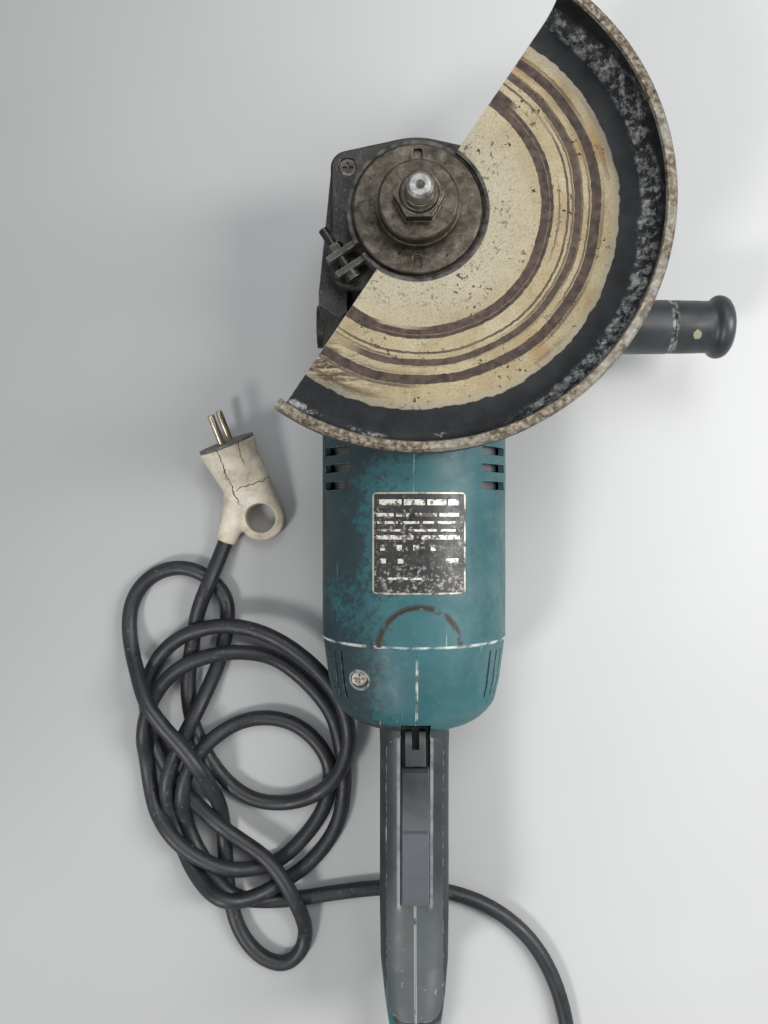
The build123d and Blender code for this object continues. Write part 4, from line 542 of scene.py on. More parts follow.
def make_guard():
    s = Shader("guard_paint")
    radius = s.from_centre((0.0, 0.0, 0.0))
    swirl = s.from_centre((0.0022, 0.0018, 0.0))
    wobble = s.sum("MULTIPLY", s.sum("SUBTRACT", s.noise(13, 2), 0.5), 0.006)
    swirl = s.sum("ADD", swirl, wobble)
    fine = s.sum("ADD", swirl, s.sum("MULTIPLY", s.sum("SUBTRACT", s.noise(320, 3), 0.5), 0.0012))
    cream = s.ramp(s.noise(45, 8, 0.70), (0.28, (0.235, 0.175, 0.090)), (0.5, (0.345, 0.285, 0.170)),
                   (0.75, (0.425, 0.385, 0.275)))
    inner = s.rise(radius, 0.072, 0.045)
    cream = s.mix(s.sum("MULTIPLY", inner, 0.6), cream, (0.385, 0.365, 0.285))
    grain = s.rise(s.noise(1100, 4, 0.7), 0.42, 0.66)
    cream = s.mix(s.sum("MULTIPLY", grain, 0.42), cream, (0.13, 0.105, 0.065))
    ochre = s.rise(s.noise(38, 5), 0.50, 0.66)
    outer = s.rise(radius, 0.072, 0.092)
    cream = s.mix(s.sum("MULTIPLY", s.sum("MULTIPLY", ochre, outer), 0.7), cream, (0.25, 0.150, 0.060))
    # Worn rings, each with its own width.
    rings = None
    for at, half, weight, start, end in WORN_RINGS:
        broken = s.rise(s.noise(9, 2, 0.5, s.moved((at * 300, 0, 0))), start, end)
        ring = s.sum("MULTIPLY", s.within(fine, at, half, 0.0004), s.sum("MULTIPLY", broken, weight))
        rings = ring if rings is None else s.sum("MAXIMUM", rings, ring)
    # Grooves at the lower left, where the rings run together.
    corner = s.from_centre((-0.060, -0.066, 0.0))
    smear = s.sum("MULTIPLY", s.rise(corner, 0.062, 0.020), s.rise(radius, 0.068, 0.090))
    streaks = s.rise(s.noise(1.0, 3, 0.6, s.moved((0, 0, 0), (60, 420, 60), (0, 0, 0.75))), 0.36, 0.54)
    smear = s.sum("MULTIPLY", smear, s.sum("MULTIPLY", s.rise(s.noise(240, 6, 0.7), 0.34, 0.50), streaks))
    start = s.rise(s.from_centre((-0.036, -0.054, 0.0)), 0.022, 0.012)
    start = s.sum("MULTIPLY", start, s.within(fine, 0.0640, 0.0030, 0.0006))
    top = s.rise(s.from_centre((0.037, 0.057, 0.0)), 0.017, 0.010)
    top = s.sum("MULTIPLY", top, s.within(fine, 0.0655, 0.0042, 0.0008))
    rings = s.sum("MAXIMUM", s.sum("MAXIMUM", rings, smear), s.sum("MAXIMUM", start, top))
    brown = s.ramp(s.noise(240, 5), (0.35, (0.028, 0.018, 0.014)), (0.7, (0.085, 0.058, 0.045)))
    colour = s.mix(rings, cream, brown)
    # Dark flecks where the paint has chipped, in a few clusters.
    flecks = s.rise(s.noise(360, 5, 0.68), 0.580, 0.615)
    cluster = s.rise(s.noise(46, 2, 0.5, s.moved((0.7, 0.2, 0))), 0.50, 0.60)
    near_hub = s.rise(radius, 0.060, 0.040)
    flecks = s.sum("MULTIPLY", flecks, s.sum("MAXIMUM", cluster, s.sum("MULTIPLY", near_hub, 0.6)))
    fine_flecks = s.rise(s.noise(900, 3), 0.66, 0.70)
    flecks = s.sum("MAXIMUM", flecks, s.sum("MULTIPLY", fine_flecks, 0.7))
    colour = s.mix(flecks, colour, (0.022, 0.018, 0.015))
    # The bare black band with a ragged inner edge.
    ragged = s.sum("ADD", radius, s.sum("MULTIPLY", s.sum("SUBTRACT", s.noise(160, 5), 0.5), 0.0035))
    ragged = s.sum("ADD", ragged, s.sum("MULTIPLY", s.sum("SUBTRACT", s.noise(14, 2), 0.5), 0.006))
    band = s.rise(ragged, 0.1015, 0.1022)
    grey_edge = s.within(ragged, 0.1005, 0.0009, 0.0016)
    colour = s.mix(s.sum("MULTIPLY", grey_edge, 0.55), colour, (0.27, 0.25, 0.20))
    black = s.ramp(s.noise(110, 6), (0.35, (0.004, 0.005, 0.006)), (0.7, (0.013, 0.015, 0.018)))
    colour = s.mix(band, colour, black)
    # Scraped bare metal at the foot of the rim.
    scrape_at = s.sum("ADD", radius, s.sum("MULTIPLY", s.sum("SUBTRACT", s.noise(26, 4), 0.5), 0.008))
    scrape = s.within(scrape_at, 0.1165, 0.0009, 0.0016)
    scrape = s.sum("MULTIPLY", scrape, s.rise(s.noise(90, 7, 0.75), 0.50, 0.60))
    right = s.rise(s.axis("X"), 0.030, 0.085)
    wide = s.within(scrape_at, 0.1175, 0.0028, 0.0022)
    wide = s.sum("MULTIPLY", s.sum("MULTIPLY", wide, right), s.rise(s.noise(230, 7, 0.75), 0.46, 0.60))
    scrape = s.sum("MAXIMUM", scrape, s.sum("MULTIPLY", wide, 0.8))
    bare = s.ramp(s.noise(420, 5, 0.7), (0.35, (0.10, 0.10, 0.10)), (0.65, (0.42, 0.43, 0.43)))
    colour = s.mix(scrape, colour, bare)
    # The rusty rim and lip.
    rim = s.sum("MULTIPLY", s.rise(radius, GUARD_RIM_FOOT, GUARD_RIM_FOOT + 0.0007),
                s.rise(s.axis("Z"), 0.1275, 0.1290))
    lip = s.ramp(s.noise(380, 7, 0.7), (0.33, (0.018, 0.013, 0.010)), (0.47, (0.115, 0.092, 0.066)),
                 (0.66, (0.34, 0.30, 0.23)))
    lip = s.mix(s.sum("MULTIPLY", s.rise(s.noise(24, 4), 0.5, 0.65), 0.5), lip, (0.34, 0.33, 0.30))
    colour = s.mix(rim, colour, lip)
    # The outside and the back are dark paint.
    outside = s.rise(radius, GUARD_OUTSIDE, GUARD_OUTSIDE + 0.0004)
    below = s.rise(s.axis("Z"), 0.1060, 0.1052)
    hidden = s.sum("MAXIMUM", outside, below)
    paint = s.ramp(s.noise(60, 6), (0.3, (0.020, 0.020, 0.021)), (0.7, (0.075, 0.070, 0.062)))
    hidden = s.sum("MULTIPLY", hidden, s.rise(s.axis("Z"), 0.1300, 0.1290))
    colour = s.mix(hidden, colour, paint)
    worn = s.sum("MULTIPLY", s.edge(0.0009, 0.05, 0.4), s.rise(s.noise(300, 4), 0.42, 0.56))
    colour = s.mix(s.sum("MULTIPLY", worn, 0.75), colour, (0.44, 0.42, 0.37))
    collar = s.rise(radius, 0.0372, 0.0364)
    greasy = s.ramp(s.noise(200, 6), (0.35, (0.015, 0.013, 0.012)), (0.7, (0.12, 0.11, 0.10)))
    colour = s.mix(collar, colour, greasy)
    s.put("Base Color", colour)
    s.put("Metallic", s.sum("MULTIPLY", s.sum("MAXIMUM", scrape, rim), 0.35))
    rough = s.mix(band, s.ramp(s.noise(90, 4), (0.3, 0.55), (0.7, 0.75)),
                  s.ramp(s.noise(60, 3), (0.3, 0.50), (0.7, 0.62)))
    s.put("Specular IOR Level", 0.3)
    s.put("Roughness", rough)
    pits = s.sum("SUBTRACT", s.sum("MULTIPLY", s.noise(500, 5), 0.6),
                 s.sum("MULTIPLY", s.sum("MAXIMUM", rings, flecks), 0.35))
    s.relief(pits, 0.0004, 0.5)
    return s.material


def make_dark_plastic():
    s = Shader("dark_plastic")
    tone = s.ramp(s.noise(60, 5), (0.3, (0.018, 0.021, 0.022)), (0.7, (0.040, 0.045, 0.048)))
    lever = s.sum("MULTIPLY", s.rise(s.axis("X"), 0.030, 0.028), s.rise(s.axis("Y"), -0.296, -0.330))
    tone = s.mix(s.sum("MULTIPLY", lever, 0.55), tone, (0.115, 0.130, 0.150))
    lines = scratches(s, 0.006, ((0, 0, 1.3), (0, 0, -0.5)))
    # Pale scuffs at the seam of the side handle, and one splash.
    seam = s.sum("MULTIPLY", s.within(s.axis("X"), SIDE_HANDLE_SEAM_X, 0.0008, 0.0018),
                 s.rise(s.noise(180, 6), 0.45, 0.56))
    scuff = s.sum("MULTIPLY", s.within(s.axis("X"), 0.160, 0.013, 0.006),
                  s.rise(s.noise(300, 6, 0.7), 0.66, 0.71))
    splash = s.rise(s.from_centre((0.1585, -0.0545, 0.0)), 0.0042, 0.0010)
    splash = s.rise(s.sum("ADD", splash, s.noise(620, 5, 0.75)), 1.02, 1.20)
    splash = s.sum("MULTIPLY", splash, s.rise(s.axis("Z"), 0.050, 0.054))
    worn = s.sum("MULTIPLY", s.edge(0.0006, 0.05, 0.35), s.rise(s.noise(340, 4), 0.50, 0.62))
    pale = s.sum("MAXIMUM", s.sum("MAXIMUM", seam, scuff),
                 s.sum("MAXIMUM", worn, s.sum("MULTIPLY", lines, 0.4)))
    tone = s.mix(s.sum("MULTIPLY", pale, 0.6), tone, (0.40, 0.40, 0.37))
    tone = s.mix(s.sum("MULTIPLY", splash, 0.8), tone, (0.34, 0.31, 0.22))
    s.put("Base Color", tone)
    s.put("Roughness", s.ramp(s.noise(110, 4), (0.3, 0.30), (0.7, 0.50)))
    s.relief(s.noise(1400, 3), 0.00012, 0.4)
    return s.material


def make_inlay():
    s = Shader("grip_rubber")
    tone = s.ramp(s.noise(70, 6), (0.3, (0.014, 0.017, 0.019)), (0.7, (0.032, 0.040, 0.044)))
    # A painted sheen lightens the low end of the grip, where its surface turns up.
    low = s.rise(s.axis("Y"), -0.345, -0.385)
    tone = s.mix(s.sum("MULTIPLY", low, 0.55), tone, (0.095, 0.108, 0.110))
    seam = s.sum("MULTIPLY", s.within(s.axis("X"), 0.0, 0.0003, 0.0006), s.rise(s.noise(150, 5), 0.30, 0.42))
    seam = s.sum("MULTIPLY", seam, s.rise(s.axis("Y"), -0.367, -0.369))
    lips = s.within(s.sum("ABSOLUTE", s.axis("X")), 0.0089, 0.0006, 0.0007)
    lips = s.sum("MULTIPLY", lips, s.rise(s.axis("Y"), -0.3725, -0.3680))
    lips = s.sum("MULTIPLY", lips,
                 s.sum("ADD", 0.35, s.sum("MULTIPLY", s.rise(s.noise(60, 4), 0.40, 0.60), 0.5)))
    worn = s.sum("MULTIPLY", s.edge(0.0008, 0.04, 0.3), s.rise(s.noise(300, 5), 0.42, 0.56))
    dents = s.sum("MULTIPLY", s.rise(s.noise(210, 5, 0.65), 0.63, 0.68), s.rise(s.axis("Y"), -0.385, -0.405))
    pale = s.sum("MAXIMUM", s.sum("MAXIMUM", seam, worn),
                 s.sum("MAXIMUM", lips, s.sum("MULTIPLY", dents, 0.6)))
    s.put("Base Color", s.mix(s.sum("MULTIPLY", pale, 0.65), tone, (0.42, 0.43, 0.41)))
    s.put("Roughness", s.ramp(s.noise(90, 4), (0.3, 0.42), (0.7, 0.62)))
    s.relief(s.noise(1100, 3), 0.0002, 0.5)
    return s.material


def make_label():
    s = Shader("plate_label")
    tone = s.ramp(s.noise(90, 6), (0.3, (0.008, 0.008, 0.009)), (0.7, (0.026, 0.025, 0.024)))
    grit = s.sum("MULTIPLY", s.rise(s.noise(520, 5, 0.7), 0.555, 0.60), s.rise(s.noise(38, 3), 0.46, 0.60))
    low = s.rise(s.axis("Y"), -0.176, -0.186)
    grit = s.sum("MAXIMUM", grit, s.sum("MULTIPLY", low, s.rise(s.noise(430, 6, 0.72), 0.52, 0.60)))
    across = s.within(s.sum("SUBTRACT", s.axis("X"), 0.0012), 0.0, 0.0233, 0.0001)
    along = s.within(s.sum("ADD", s.axis("Y"), 0.1699), 0.0, 0.0254, 0.0001)
    border = s.sum("SUBTRACT", 1.0, s.sum("MULTIPLY", across, along))
    border = s.sum("MULTIPLY", border, s.rise(s.noise(150, 5), 0.34, 0.52))
    colour = s.mix(s.sum("MAXIMUM", s.sum("MULTIPLY", grit, 0.6), border), tone, (0.40, 0.38, 0.33))
    s.put("Base Color", colour)
    s.put("Metallic", s.sum("MULTIPLY", border, 0.4))
    s.put("Roughness", s.ramp(s.noise(200, 4), (0.3, 0.3), (0.7, 0.55)))
    s.relief(s.noise(600, 5), 0.0002, 0.5)
    return s.material


def make_marks():
    s = Shader("label_marks", roughness=0.4, metallic=0.3)
    wear = s.rise(s.noise(330, 5, 0.7), 0.44, 0.52)
    s.put("Base Color", s.mix(wear, (0.10, 0.09, 0.08), (0.62, 0.60, 0.54)))
    s.relief(s.noise(900, 3), 0.0001, 0.3, 0.0)
    return s.material


def make_cord_rubber():
    s = Shader("cord_rubber")
    tone = s.ramp(s.noise(60, 6), (0.3, (0.008, 0.009, 0.011)), (0.7, (0.020, 0.023, 0.027)))
    dust = s.sum("MULTIPLY", s.rise(s.noise(480, 5, 0.7), 0.60, 0.66), s.rise(s.noise(26, 3), 0.48, 0.62))
    s.put("Base Color", s.mix(s.sum("MULTIPLY", dust, 0.35), tone, (0.33, 0.33, 0.33)))
    s.put("Roughness", s.ramp(s.noise(120, 4), (0.3, 0.40), (0.7, 0.58)))
    s.put("Specular IOR Level", 0.5)
    s.relief(s.noise(900, 3), 0.00015, 0.5, 0.0)
    return s.material


def make_plug_rubber():
    s = Shader("plug_rubber")
    tone = s.ramp(s.noise(70, 7, 0.65), (0.3, (0.34, 0.285, 0.195)), (0.52, (0.56, 0.50, 0.395)),
                  (0.75, (0.68, 0.65, 0.56)))
    crazing = s.crazing(330)
    lines = s.sum("MULTIPLY", s.rise(crazing, 0.035, 0.010), s.rise(s.noise(60, 4), 0.50, 0.64))
    spots = s.rise(s.noise(520, 4, 0.7), 0.62, 0.68)
    tone = s.mix(s.sum("MULTIPLY", s.sum("MAXIMUM", lines, spots), 0.5), tone, (0.16, 0.125, 0.075))
    # Two long cracks back from the face, and a crease across the body.
    bend = s.sum("MULTIPLY", s.sum("SUBTRACT", s.noise(110, 5), 0.5), 0.007)
    slant = s.sum("ADD", s.sum("ADD", s.axis("X"), s.sum("MULTIPLY", s.axis("Y"), 0.36)), bend)
    long_crack = s.sum("MULTIPLY", s.within(slant, -0.1585, 0.00022, 0.00025),
                       s.rise(s.axis("Y"), -0.151, -0.146))
    short_crack = s.sum("MULTIPLY", s.within(slant, -0.1452, 0.0002, 0.0002),
                        s.rise(s.axis("Y"), -0.128, -0.124))
    across = s.sum("ADD", s.sum("SUBTRACT", s.axis("Y"), s.sum("MULTIPLY", s.axis("X"), 0.42)), bend)
    crease = s.sum("MULTIPLY", s.within(across, -0.0960, 0.00018, 0.0003),
                   s.rise(s.axis("X"), -0.110, -0.105))
    cracks = s.sum("MAXIMUM", s.sum("MAXIMUM", long_crack, short_crack), s.sum("MULTIPLY", crease, 0.8))
    cracks = s.sum("MULTIPLY", cracks, s.rise(s.axis("Z"), 0.010, 0.014))
    tone = s.mix(cracks, tone, (0.045, 0.032, 0.02))
    s.put("Base Color", tone)
    s.put("Roughness", s.ramp(s.noise(120, 4), (0.3, 0.5), (0.7, 0.75)))
    sunk = s.sum("ADD", cracks, s.sum("MULTIPLY", lines, 0.4))
    s.relief(s.sum("SUBTRACT", s.noise(420, 6, 0.65), sunk), 0.0006, 0.6, 0.0)
    return s.material


def make_plug_face():
    s = Shader("plug_face_plastic", roughness=0.6)
    tone = s.ramp(s.noise(240, 6, 0.7), (0.35, (0.045, 0.043, 0.040)), (0.65, (0.19, 0.18, 0.165)))
    s.put("Base Color", tone)
    s.relief(s.noise(700, 5), 0.0003, 0.5)
    return s.material


def make_floor():
    s = Shader("floor", roughness=0.5)
    # Painted light and shade: the floor turns paler towards the right and darker towards the left.
    across = s.rise(s.axis("X"), -0.36, 0.22)
    pale = s.ramp(s.noise(3.0, 4), (0.3, (0.47, 0.475, 0.475)), (0.7, (0.51, 0.515, 0.515)))
    shade = s.ramp(s.noise(2.0, 4), (0.3, (0.26, 0.265, 0.265)), (0.7, (0.30, 0.305, 0.305)))
    s.put("Base Color", s.mix(across, shade, pale))
    s.relief(s.noise(900, 4), 0.00012, 0.12, 0.0)
    return s.material


finishes = {
    "gear_casting": make_casting(),
    "oily_steel": make_oily_steel(),
    "machined_steel": make_steel(),
    "bronze": make_plain_metal("bronze", (0.28, 0.18, 0.07), (0.5, 0.36, 0.17), 0.35),
    "copper": make_plain_metal("copper", (0.30, 0.11, 0.05), (0.6, 0.28, 0.14), 0.35),
    "laminations": make_plain_metal("laminations", (0.10, 0.10, 0.105), (0.24, 0.24, 0.25), 0.45),
    "carbon": make_plain_metal("carbon", (0.012, 0.012, 0.013), (0.04, 0.04, 0.042), 0.6),
    "teal_plastic": make_teal(),
    "grip_rubber": make_inlay(),
    "dark_plastic": make_dark_plastic(),
    "plate_label": make_label(),
    "guard_paint": make_guard(),
    "cord_rubber": make_cord_rubber(),
    "plug_rubber": make_plug_rubber(),
    "plug_face_plastic": make_plug_face(),
    "pin_metal": make_plain_metal("pin_metal", (0.30, 0.25, 0.17), (0.62, 0.56, 0.44), 0.28),
}
marks_finish = make_marks()


def make_dusty_steel():
    s = Shader("dusty_steel", roughness=0.8)
    s.put("Base Color", s.ramp(s.noise(300, 6, 0.7), (0.34, (0.10, 0.085, 0.06)), (0.56, (0.50, 0.47, 0.40))))
    s.relief(s.noise(500, 5), 0.0005, 0.8)
    return s.material


dusty_steel = make_dusty_steel()


# ---------------------------------------------------------------- CAD nodes
def make_smoother():
    """A modifier that joins the loose corners and shades each face smoothly up to its sharp edges."""
    group = bpy.data.node_groups.new("smoother", "GeometryNodeTree")
    group.interface.new_socket("Geometry", in_out="INPUT", socket_type="NodeSocketGeometry")
    group.interface.new_socket("Geometry", in_out="OUTPUT", socket_type="NodeSocketGeometry")
    begin = group.nodes.new("NodeGroupInput")
    end = group.nodes.new("NodeGroupOutput")
    plain = group.nodes.new("GeometryNodeRemoveAttribute")
    plain.inputs["Name"].default_value = "custom_normal"
    weld = group.nodes.new("GeometryNodeMergeByDistance")
    weld.inputs["Distance"].default_value = 0.000002
    faces = group.nodes.new("GeometryNodeSetShadeSmooth")
    faces.domain = "FACE"
    faces.inputs["Shade Smooth"].default_value = True
    angle = group.nodes.new("GeometryNodeInputMeshEdgeAngle")
    sharp = group.nodes.new("FunctionNodeCompare")
    sharp.data_type = "FLOAT"
    sharp.operation = "GREATER_THAN"
    sharp.inputs[1].default_value = radians(32)
    edges = group.nodes.new("GeometryNodeSetShadeSmooth")
    edges.domain = "EDGE"
    edges.inputs["Shade Smooth"].default_value = False
    group.links.new(begin.outputs[0], plain.inputs["Geometry"])
    group.links.new(plain.outputs["Geometry"], weld.inputs["Geometry"])
    group.links.new(weld.outputs["Geometry"], faces.inputs["Geometry"])
    group.links.new(faces.outputs["Geometry"], edges.inputs["Geometry"])
    group.links.new(angle.outputs["Unsigned Angle"], sharp.inputs[0])
    group.links.new(sharp.outputs["Result"], edges.inputs["Selection"])
    group.links.new(edges.outputs["Geometry"], end.inputs[0])
    return group


smoother = make_smoother()
slot_of = {row["node"]: row["material_slot"] for row in frame["record"]["subparts"]}
for name, node in frame["nodes"].items():
    node.data.materials.clear()
    node.data.materials.append(finishes[slot_of[name]])
    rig.slot(node, slot_of[name])
    node.modifiers.new("smoother", "NODES").node_group = smoother
frame["nodes"]["cap_screw"].data.materials[0] = dusty_steel


def add_mesh(name, mesh, material, slot):
    """A new piece on the body that stands still."""
    piece = bpy.data.objects.new(name, mesh)
    scene.collection.objects.link(piece)
    mesh.materials.clear()
    mesh.materials.append(material)
    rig.ride(piece, "root")
    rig.slot(piece, slot)
    return piece


# ---------------------------------------------------------------- springs
# Metres, each a little more than its button or lever moves there. This closes both springs further than
# their stacked wire allows, since their pockets in the CAD model are too short.
LOCK_TRAVEL = 0.0062
LEVER_TRAVEL_AT_SPRING = 0.0040


def make_pressed_spring(name, joint, travel, fixed_end):
    """A spring that shortens by its travel as its joint goes in, towards its fixed end."""
    node = frame["nodes"][name]
    mesh = node.data.copy()
    mesh.transform(node.matrix_world)
    piece = add_mesh(name + "_coil", mesh, finishes[slot_of[name]], slot_of[name])
    piece.modifiers.new("smoother", "NODES").node_group = smoother
    heights = [vertex.co.z for vertex in mesh.vertices]
    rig.replaces(piece, name)
    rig.squash(
        piece,
        joint,
        axis=(0, 0, 1),
        anchor=(0, 0, fixed_end(heights)),
        keep=1 - travel / (max(heights) - min(heights)),
    )


make_pressed_spring("lock_spring", "lock_press", LOCK_TRAVEL, max)
make_pressed_spring("trigger_spring", "trigger_press", LEVER_TRAVEL_AT_SPRING, min)


# ---------------------------------------------------------------- plug
def hull_of(mesh, points):
    """Adds the convex hull of these points, in millimetres, to the mesh."""
    corners = [mesh.verts.new(Vector(point) / 1000) for point in points]
    made = bmesh.ops.convex_hull(mesh, input=corners)
    spare = made["geom_interior"] + made["geom_unused"]
    loose = {item for item in spare if isinstance(item, bmesh.types.BMVert)}
    bmesh.ops.delete(mesh, geom=sorted(loose, key=corners.index), context="VERTS")


def ring_points(centre, normal, radius, count=40):
    """Points round a circle in space."""
    axis = Vector(normal).normalized()
    side = axis.orthogonal().normalized()
    other = axis.cross(side)
    return [
        Vector(centre) + radius * (cos(2 * pi * step / count) * side + sin(2 * pi * step / count) * other)
        for step in range(count)
    ]


def applied(piece):
    """The mesh of a piece with its modifiers applied."""
    graph = bpy.context.evaluated_depsgraph_get()
    mesh = bpy.data.meshes.new_from_object(piece.evaluated_get(graph))
    piece.modifiers.clear()
    piece.data = mesh
    return mesh


def rounded_off(piece, voxel, rounds):
    """Remeshes a piece evenly and softens it."""
    even = piece.modifiers.new("even", "REMESH")
    even.mode = "VOXEL"
    even.voxel_size = voxel
    soft = piece.modifiers.new("soft", "SMOOTH")
    soft.factor = 0.5
    soft.iterations = rounds
    return applied(piece)


PULL_RING_HOLE_RADIUS = 0.009


def make_plug():
    """The plug body, from its face back through its pull ring to its neck, in millimetres."""
    heading = radians(20)
    tilt = radians(12)
    front = Vector((-sin(heading) * cos(tilt), cos(heading) * cos(tilt), sin(tilt)))
    face = Vector((-112.9, -112.6, 18.5))
    ring = (-92.9, -157.5)
    neck = Vector((-115.6, -172.4, 8.0))
    neck_way = Vector((5.4, 14.6, 1.2)).normalized()
    shape = bmesh.new()
    hull_of(shape, ring_points(face, front, 18.0) + ring_points(face - 10 * front, front, 16.0))
    hull_of(shape, ring_points(face - 9 * front, front, 16.2) + ring_points(face - 33 * front, front, 11.0))
    hull_of(
        shape,
        ring_points(face - 12 * front + Vector((4.5, 0, 0)), front, 12.6)
        + ring_points((*ring, 1.2), (0, 0, 1), 13.8)
        + ring_points((*ring, 11.8), (0, 0, 1), 13.8),
    )
    hull_of(shape,
            ring_points(face - 26 * front, front, 12.4) + ring_points(neck + 14 * neck_way, neck_way, 7.6))
    hull_of(shape, ring_points(neck, neck_way, 6.1) + ring_points(neck + 16 * neck_way, neck_way, 8.2))
    hull_of(shape, ring_points((*ring, 1.0), (0, 0, 1), 14.0) + ring_points((*ring, 12.2), (0, 0, 1), 14.0)
            + ring_points((*ring, 6.5), (0, 0, 1), 14.6))
    mesh = bpy.data.meshes.new("plug")
    shape.to_mesh(mesh)
    shape.free()
    piece = add_mesh("plug", mesh, finishes["plug_rubber"], "plug_rubber")
    rounded_off(piece, 0.0007, 14)
    cutter_mesh = bpy.data.meshes.new("cutter")
    cutter = bmesh.new()
    bmesh.ops.create_cone(
        cutter, cap_ends=True, segments=64, depth=0.05,
        radius1=PULL_RING_HOLE_RADIUS, radius2=PULL_RING_HOLE_RADIUS,
        matrix=Matrix.Translation((ring[0] / 1000, ring[1] / 1000, 0.006)),
    )
    cutter.to_mesh(cutter_mesh)
    cutter.free()
    cutter_piece = bpy.data.objects.new("cutter", cutter_mesh)
    scene.collection.objects.link(cutter_piece)
    cut = piece.modifiers.new("cut", "BOOLEAN")
    cut.object = cutter_piece
    cut.operation = "DIFFERENCE"
    cut.solver = "EXACT"
    applied(piece)
    bpy.data.objects.remove(cutter_piece)
    mesh = rounded_off(piece, 0.0006, 5)
    mesh.materials.clear()
    mesh.materials.append(finishes["plug_rubber"])
    for polygon in mesh.polygons:
        polygon.use_smooth = True
    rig.replaces(piece, "plug_body")
    return piece


plug = make_plug()
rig.cord(
    cord, exit=(0.0, -0.484, 0.031), length=2.54, diameter=0.0093, far_end="plug", stiffness="medium",
    lay="loose", with_pieces=[plug, frame["nodes"]["plug_face"], frame["nodes"]["plug_pins"]],
)
cord_curve.materials.append(finishes["cord_rubber"])


# ---------------------------------------------------------------- end of the side handle
def make_side_cap():
    """The turned end piece, straight and then flared into a rounded lip."""
    outline = [
        (146.0, 13.6), (146.5, 14.9), (148.0, 15.1), (160.0, 14.9), (167.0, 14.7), (169.0, 14.9),
        (170.2, 15.6), (171.2, 16.7), (172.6, 17.6), (174.4, 17.9), (176.4, 17.6), (178.2, 16.6),
        (179.8, 14.6), (180.8, 11.6), (181.5, 7.6), (181.9, 3.6), (182.0, 0.05),
    ]
    count = 72
    shape = bmesh.new()
    rows = []
    for x, radius in outline:
        row = []
        for step in range(count):
            turn = 2 * pi * step / count
            y = SIDE_HANDLE_Y + radius * cos(turn) / 1000
            z = SIDE_HANDLE_Z + radius * sin(turn) / 1000
            row.append(shape.verts.new((x / 1000, y, z)))
        rows.append(row)
    for first, second in zip(rows, rows[1:]):
        for step in range(count):
            after = (step + 1) % count
            shape.faces.new((first[step], first[after], second[after], second[step]))
    shape.faces.new(rows[0])
    shape.faces.new(list(reversed(rows[-1])))
    bmesh.ops.recalc_face_normals(shape, faces=shape.faces)
    mesh = bpy.data.meshes.new("side_cap")
    shape.to_mesh(mesh)
    shape.free()
    for polygon in mesh.polygons:
        polygon.use_smooth = len(polygon.vertices) == 4
    piece = add_mesh("side_cap", mesh, finishes["dark_plastic"], "dark_plastic")
    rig.replaces(piece, "side_handle_cap")


make_side_cap()

# ---------------------------------------------------------------- marks on the label
MARKS_LIFT = 0.0001


def plate_height(x):
    """How high the printed marks lie at this distance from the middle of the plate."""
    return MOTOR_AXIS_Z + sqrt(PLATE_RADIUS**2 - x**2) + MARKS_LIFT


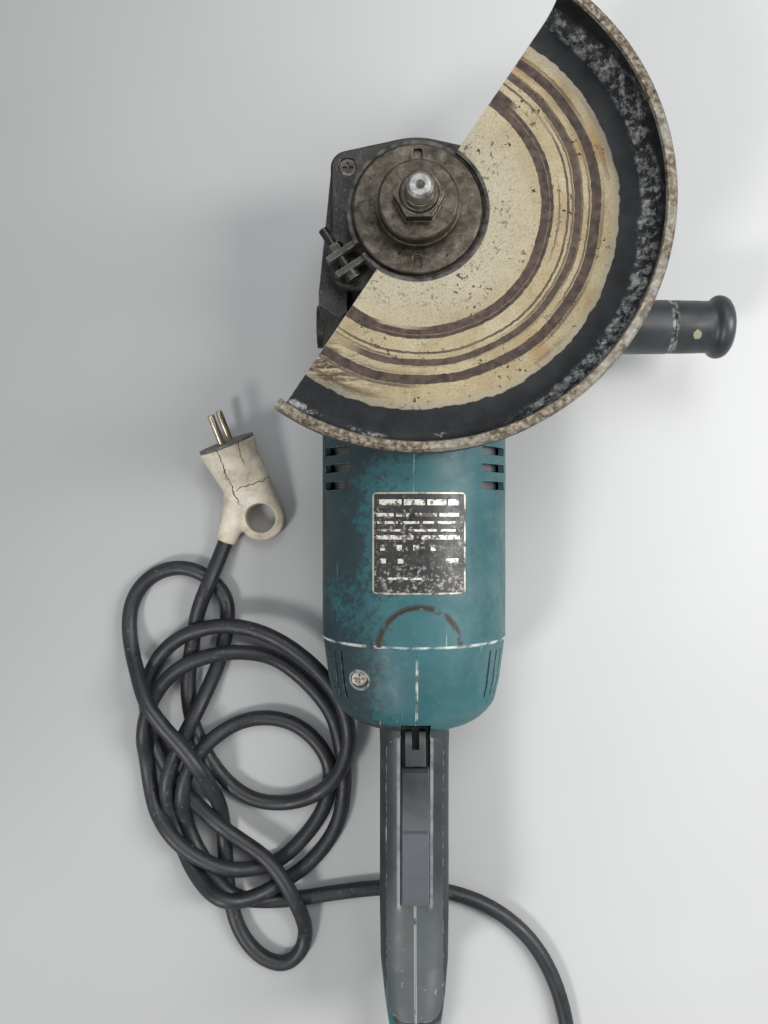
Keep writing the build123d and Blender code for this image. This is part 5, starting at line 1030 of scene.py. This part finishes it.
def make_marks_piece():
    """Plain bars for the printed rows, a touch above the plate."""
    shape = bmesh.new()
    rows = [
        (-0.1488, 0.0030, ((-0.0195, -0.0080), (-0.0068, 0.0040), (0.0052, 0.0150), (0.0162, 0.0215))),
        (-0.1552, 0.0018, ((-0.0210, -0.0120), (-0.0108, -0.0040), (-0.0010, 0.0100), (0.0115, 0.0218))),
        (-0.1592, 0.0014, ((-0.0205, -0.0100), (-0.0085, 0.0010), (0.0030, 0.0085), (0.0105, 0.0205))),
        (-0.1632, 0.0012, ((-0.0205, -0.0060), (-0.0045, 0.0100), (0.0120, 0.0200))),
        (-0.1668, 0.0022, ((-0.0210, -0.0020), (0.0022, 0.0222))),
        (-0.1722, 0.0030, ((-0.0190, -0.0165), (-0.0105, -0.0078), (-0.0020, 0.0010), (0.0070, 0.0096))),
        (-0.1790, 0.0024, ((-0.0190, -0.0160), (-0.0100, -0.0070), (0.0150, 0.0215))),
        (-0.1880, 0.0012, ((-0.0150, 0.0060),)),
    ]
    for y, height, spans in rows:
        for left, right in spans:
            steps = max(2, int((right - left) / 0.001))
            line = []
            for step in range(steps + 1):
                x = left + (right - left) * step / steps
                lower = shape.verts.new((x, y - height / 2, plate_height(x)))
                upper = shape.verts.new((x, y + height / 2, plate_height(x)))
                line.append((lower, upper))
            for (a, b), (c, d) in zip(line, line[1:]):
                shape.faces.new((a, c, d, b))
    mesh = bpy.data.meshes.new("label_marks")
    shape.to_mesh(mesh)
    shape.free()
    add_mesh("label_marks", mesh, marks_finish, "plate_label")


make_marks_piece()

# ---------------------------------------------------------------- floor and light
floor_shape = bmesh.new()
bmesh.ops.create_grid(floor_shape, x_segments=1, y_segments=1, size=3.0)
floor_mesh = bpy.data.meshes.new("floor")
floor_shape.to_mesh(floor_mesh)
floor_shape.free()
floor = bpy.data.objects.new("floor", floor_mesh)
scene.collection.objects.link(floor)
floor_mesh.materials.append(make_floor())
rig.stage(floor)

world = bpy.data.worlds.new("world")
world.use_nodes = True
world.node_tree.nodes["Background"].inputs["Color"].default_value = (0.93, 0.95, 1.0, 1.0)
world.node_tree.nodes["Background"].inputs["Strength"].default_value = 0.38
scene.world = world


def add_light(name, place, target, size, power, colour=(1, 1, 1), length=None):
    data = bpy.data.lights.new(name, "AREA")
    data.size = size
    if length is not None:
        data.shape = "RECTANGLE"
        data.size_y = length
    data.energy = power
    data.color = colour
    light = bpy.data.objects.new(name, data)
    light.location = place
    way = Vector(target) - Vector(place)
    light.rotation_euler = way.to_track_quat("-Z", "Y").to_euler()
    scene.collection.objects.link(light)


add_light("key", (-0.9, -1.1, 1.35), (0, -0.2, 0), 0.35, 17, (1.0, 0.99, 0.97))
add_light("right", (1.2, 0.0, 1.2), (0, -0.1, 0), 0.4, 25, (1.0, 0.99, 0.97), 0.9)
add_light("top", (0.2, 0.8, 1.7), (0, -0.1, 0), 0.8, 12, (0.96, 0.98, 1.0))

low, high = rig.bounds()
with open("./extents.json", "w") as file:
    json.dump({"start": [list(start_low), list(start_high)], "end": [list(low), list(high)]}, file)
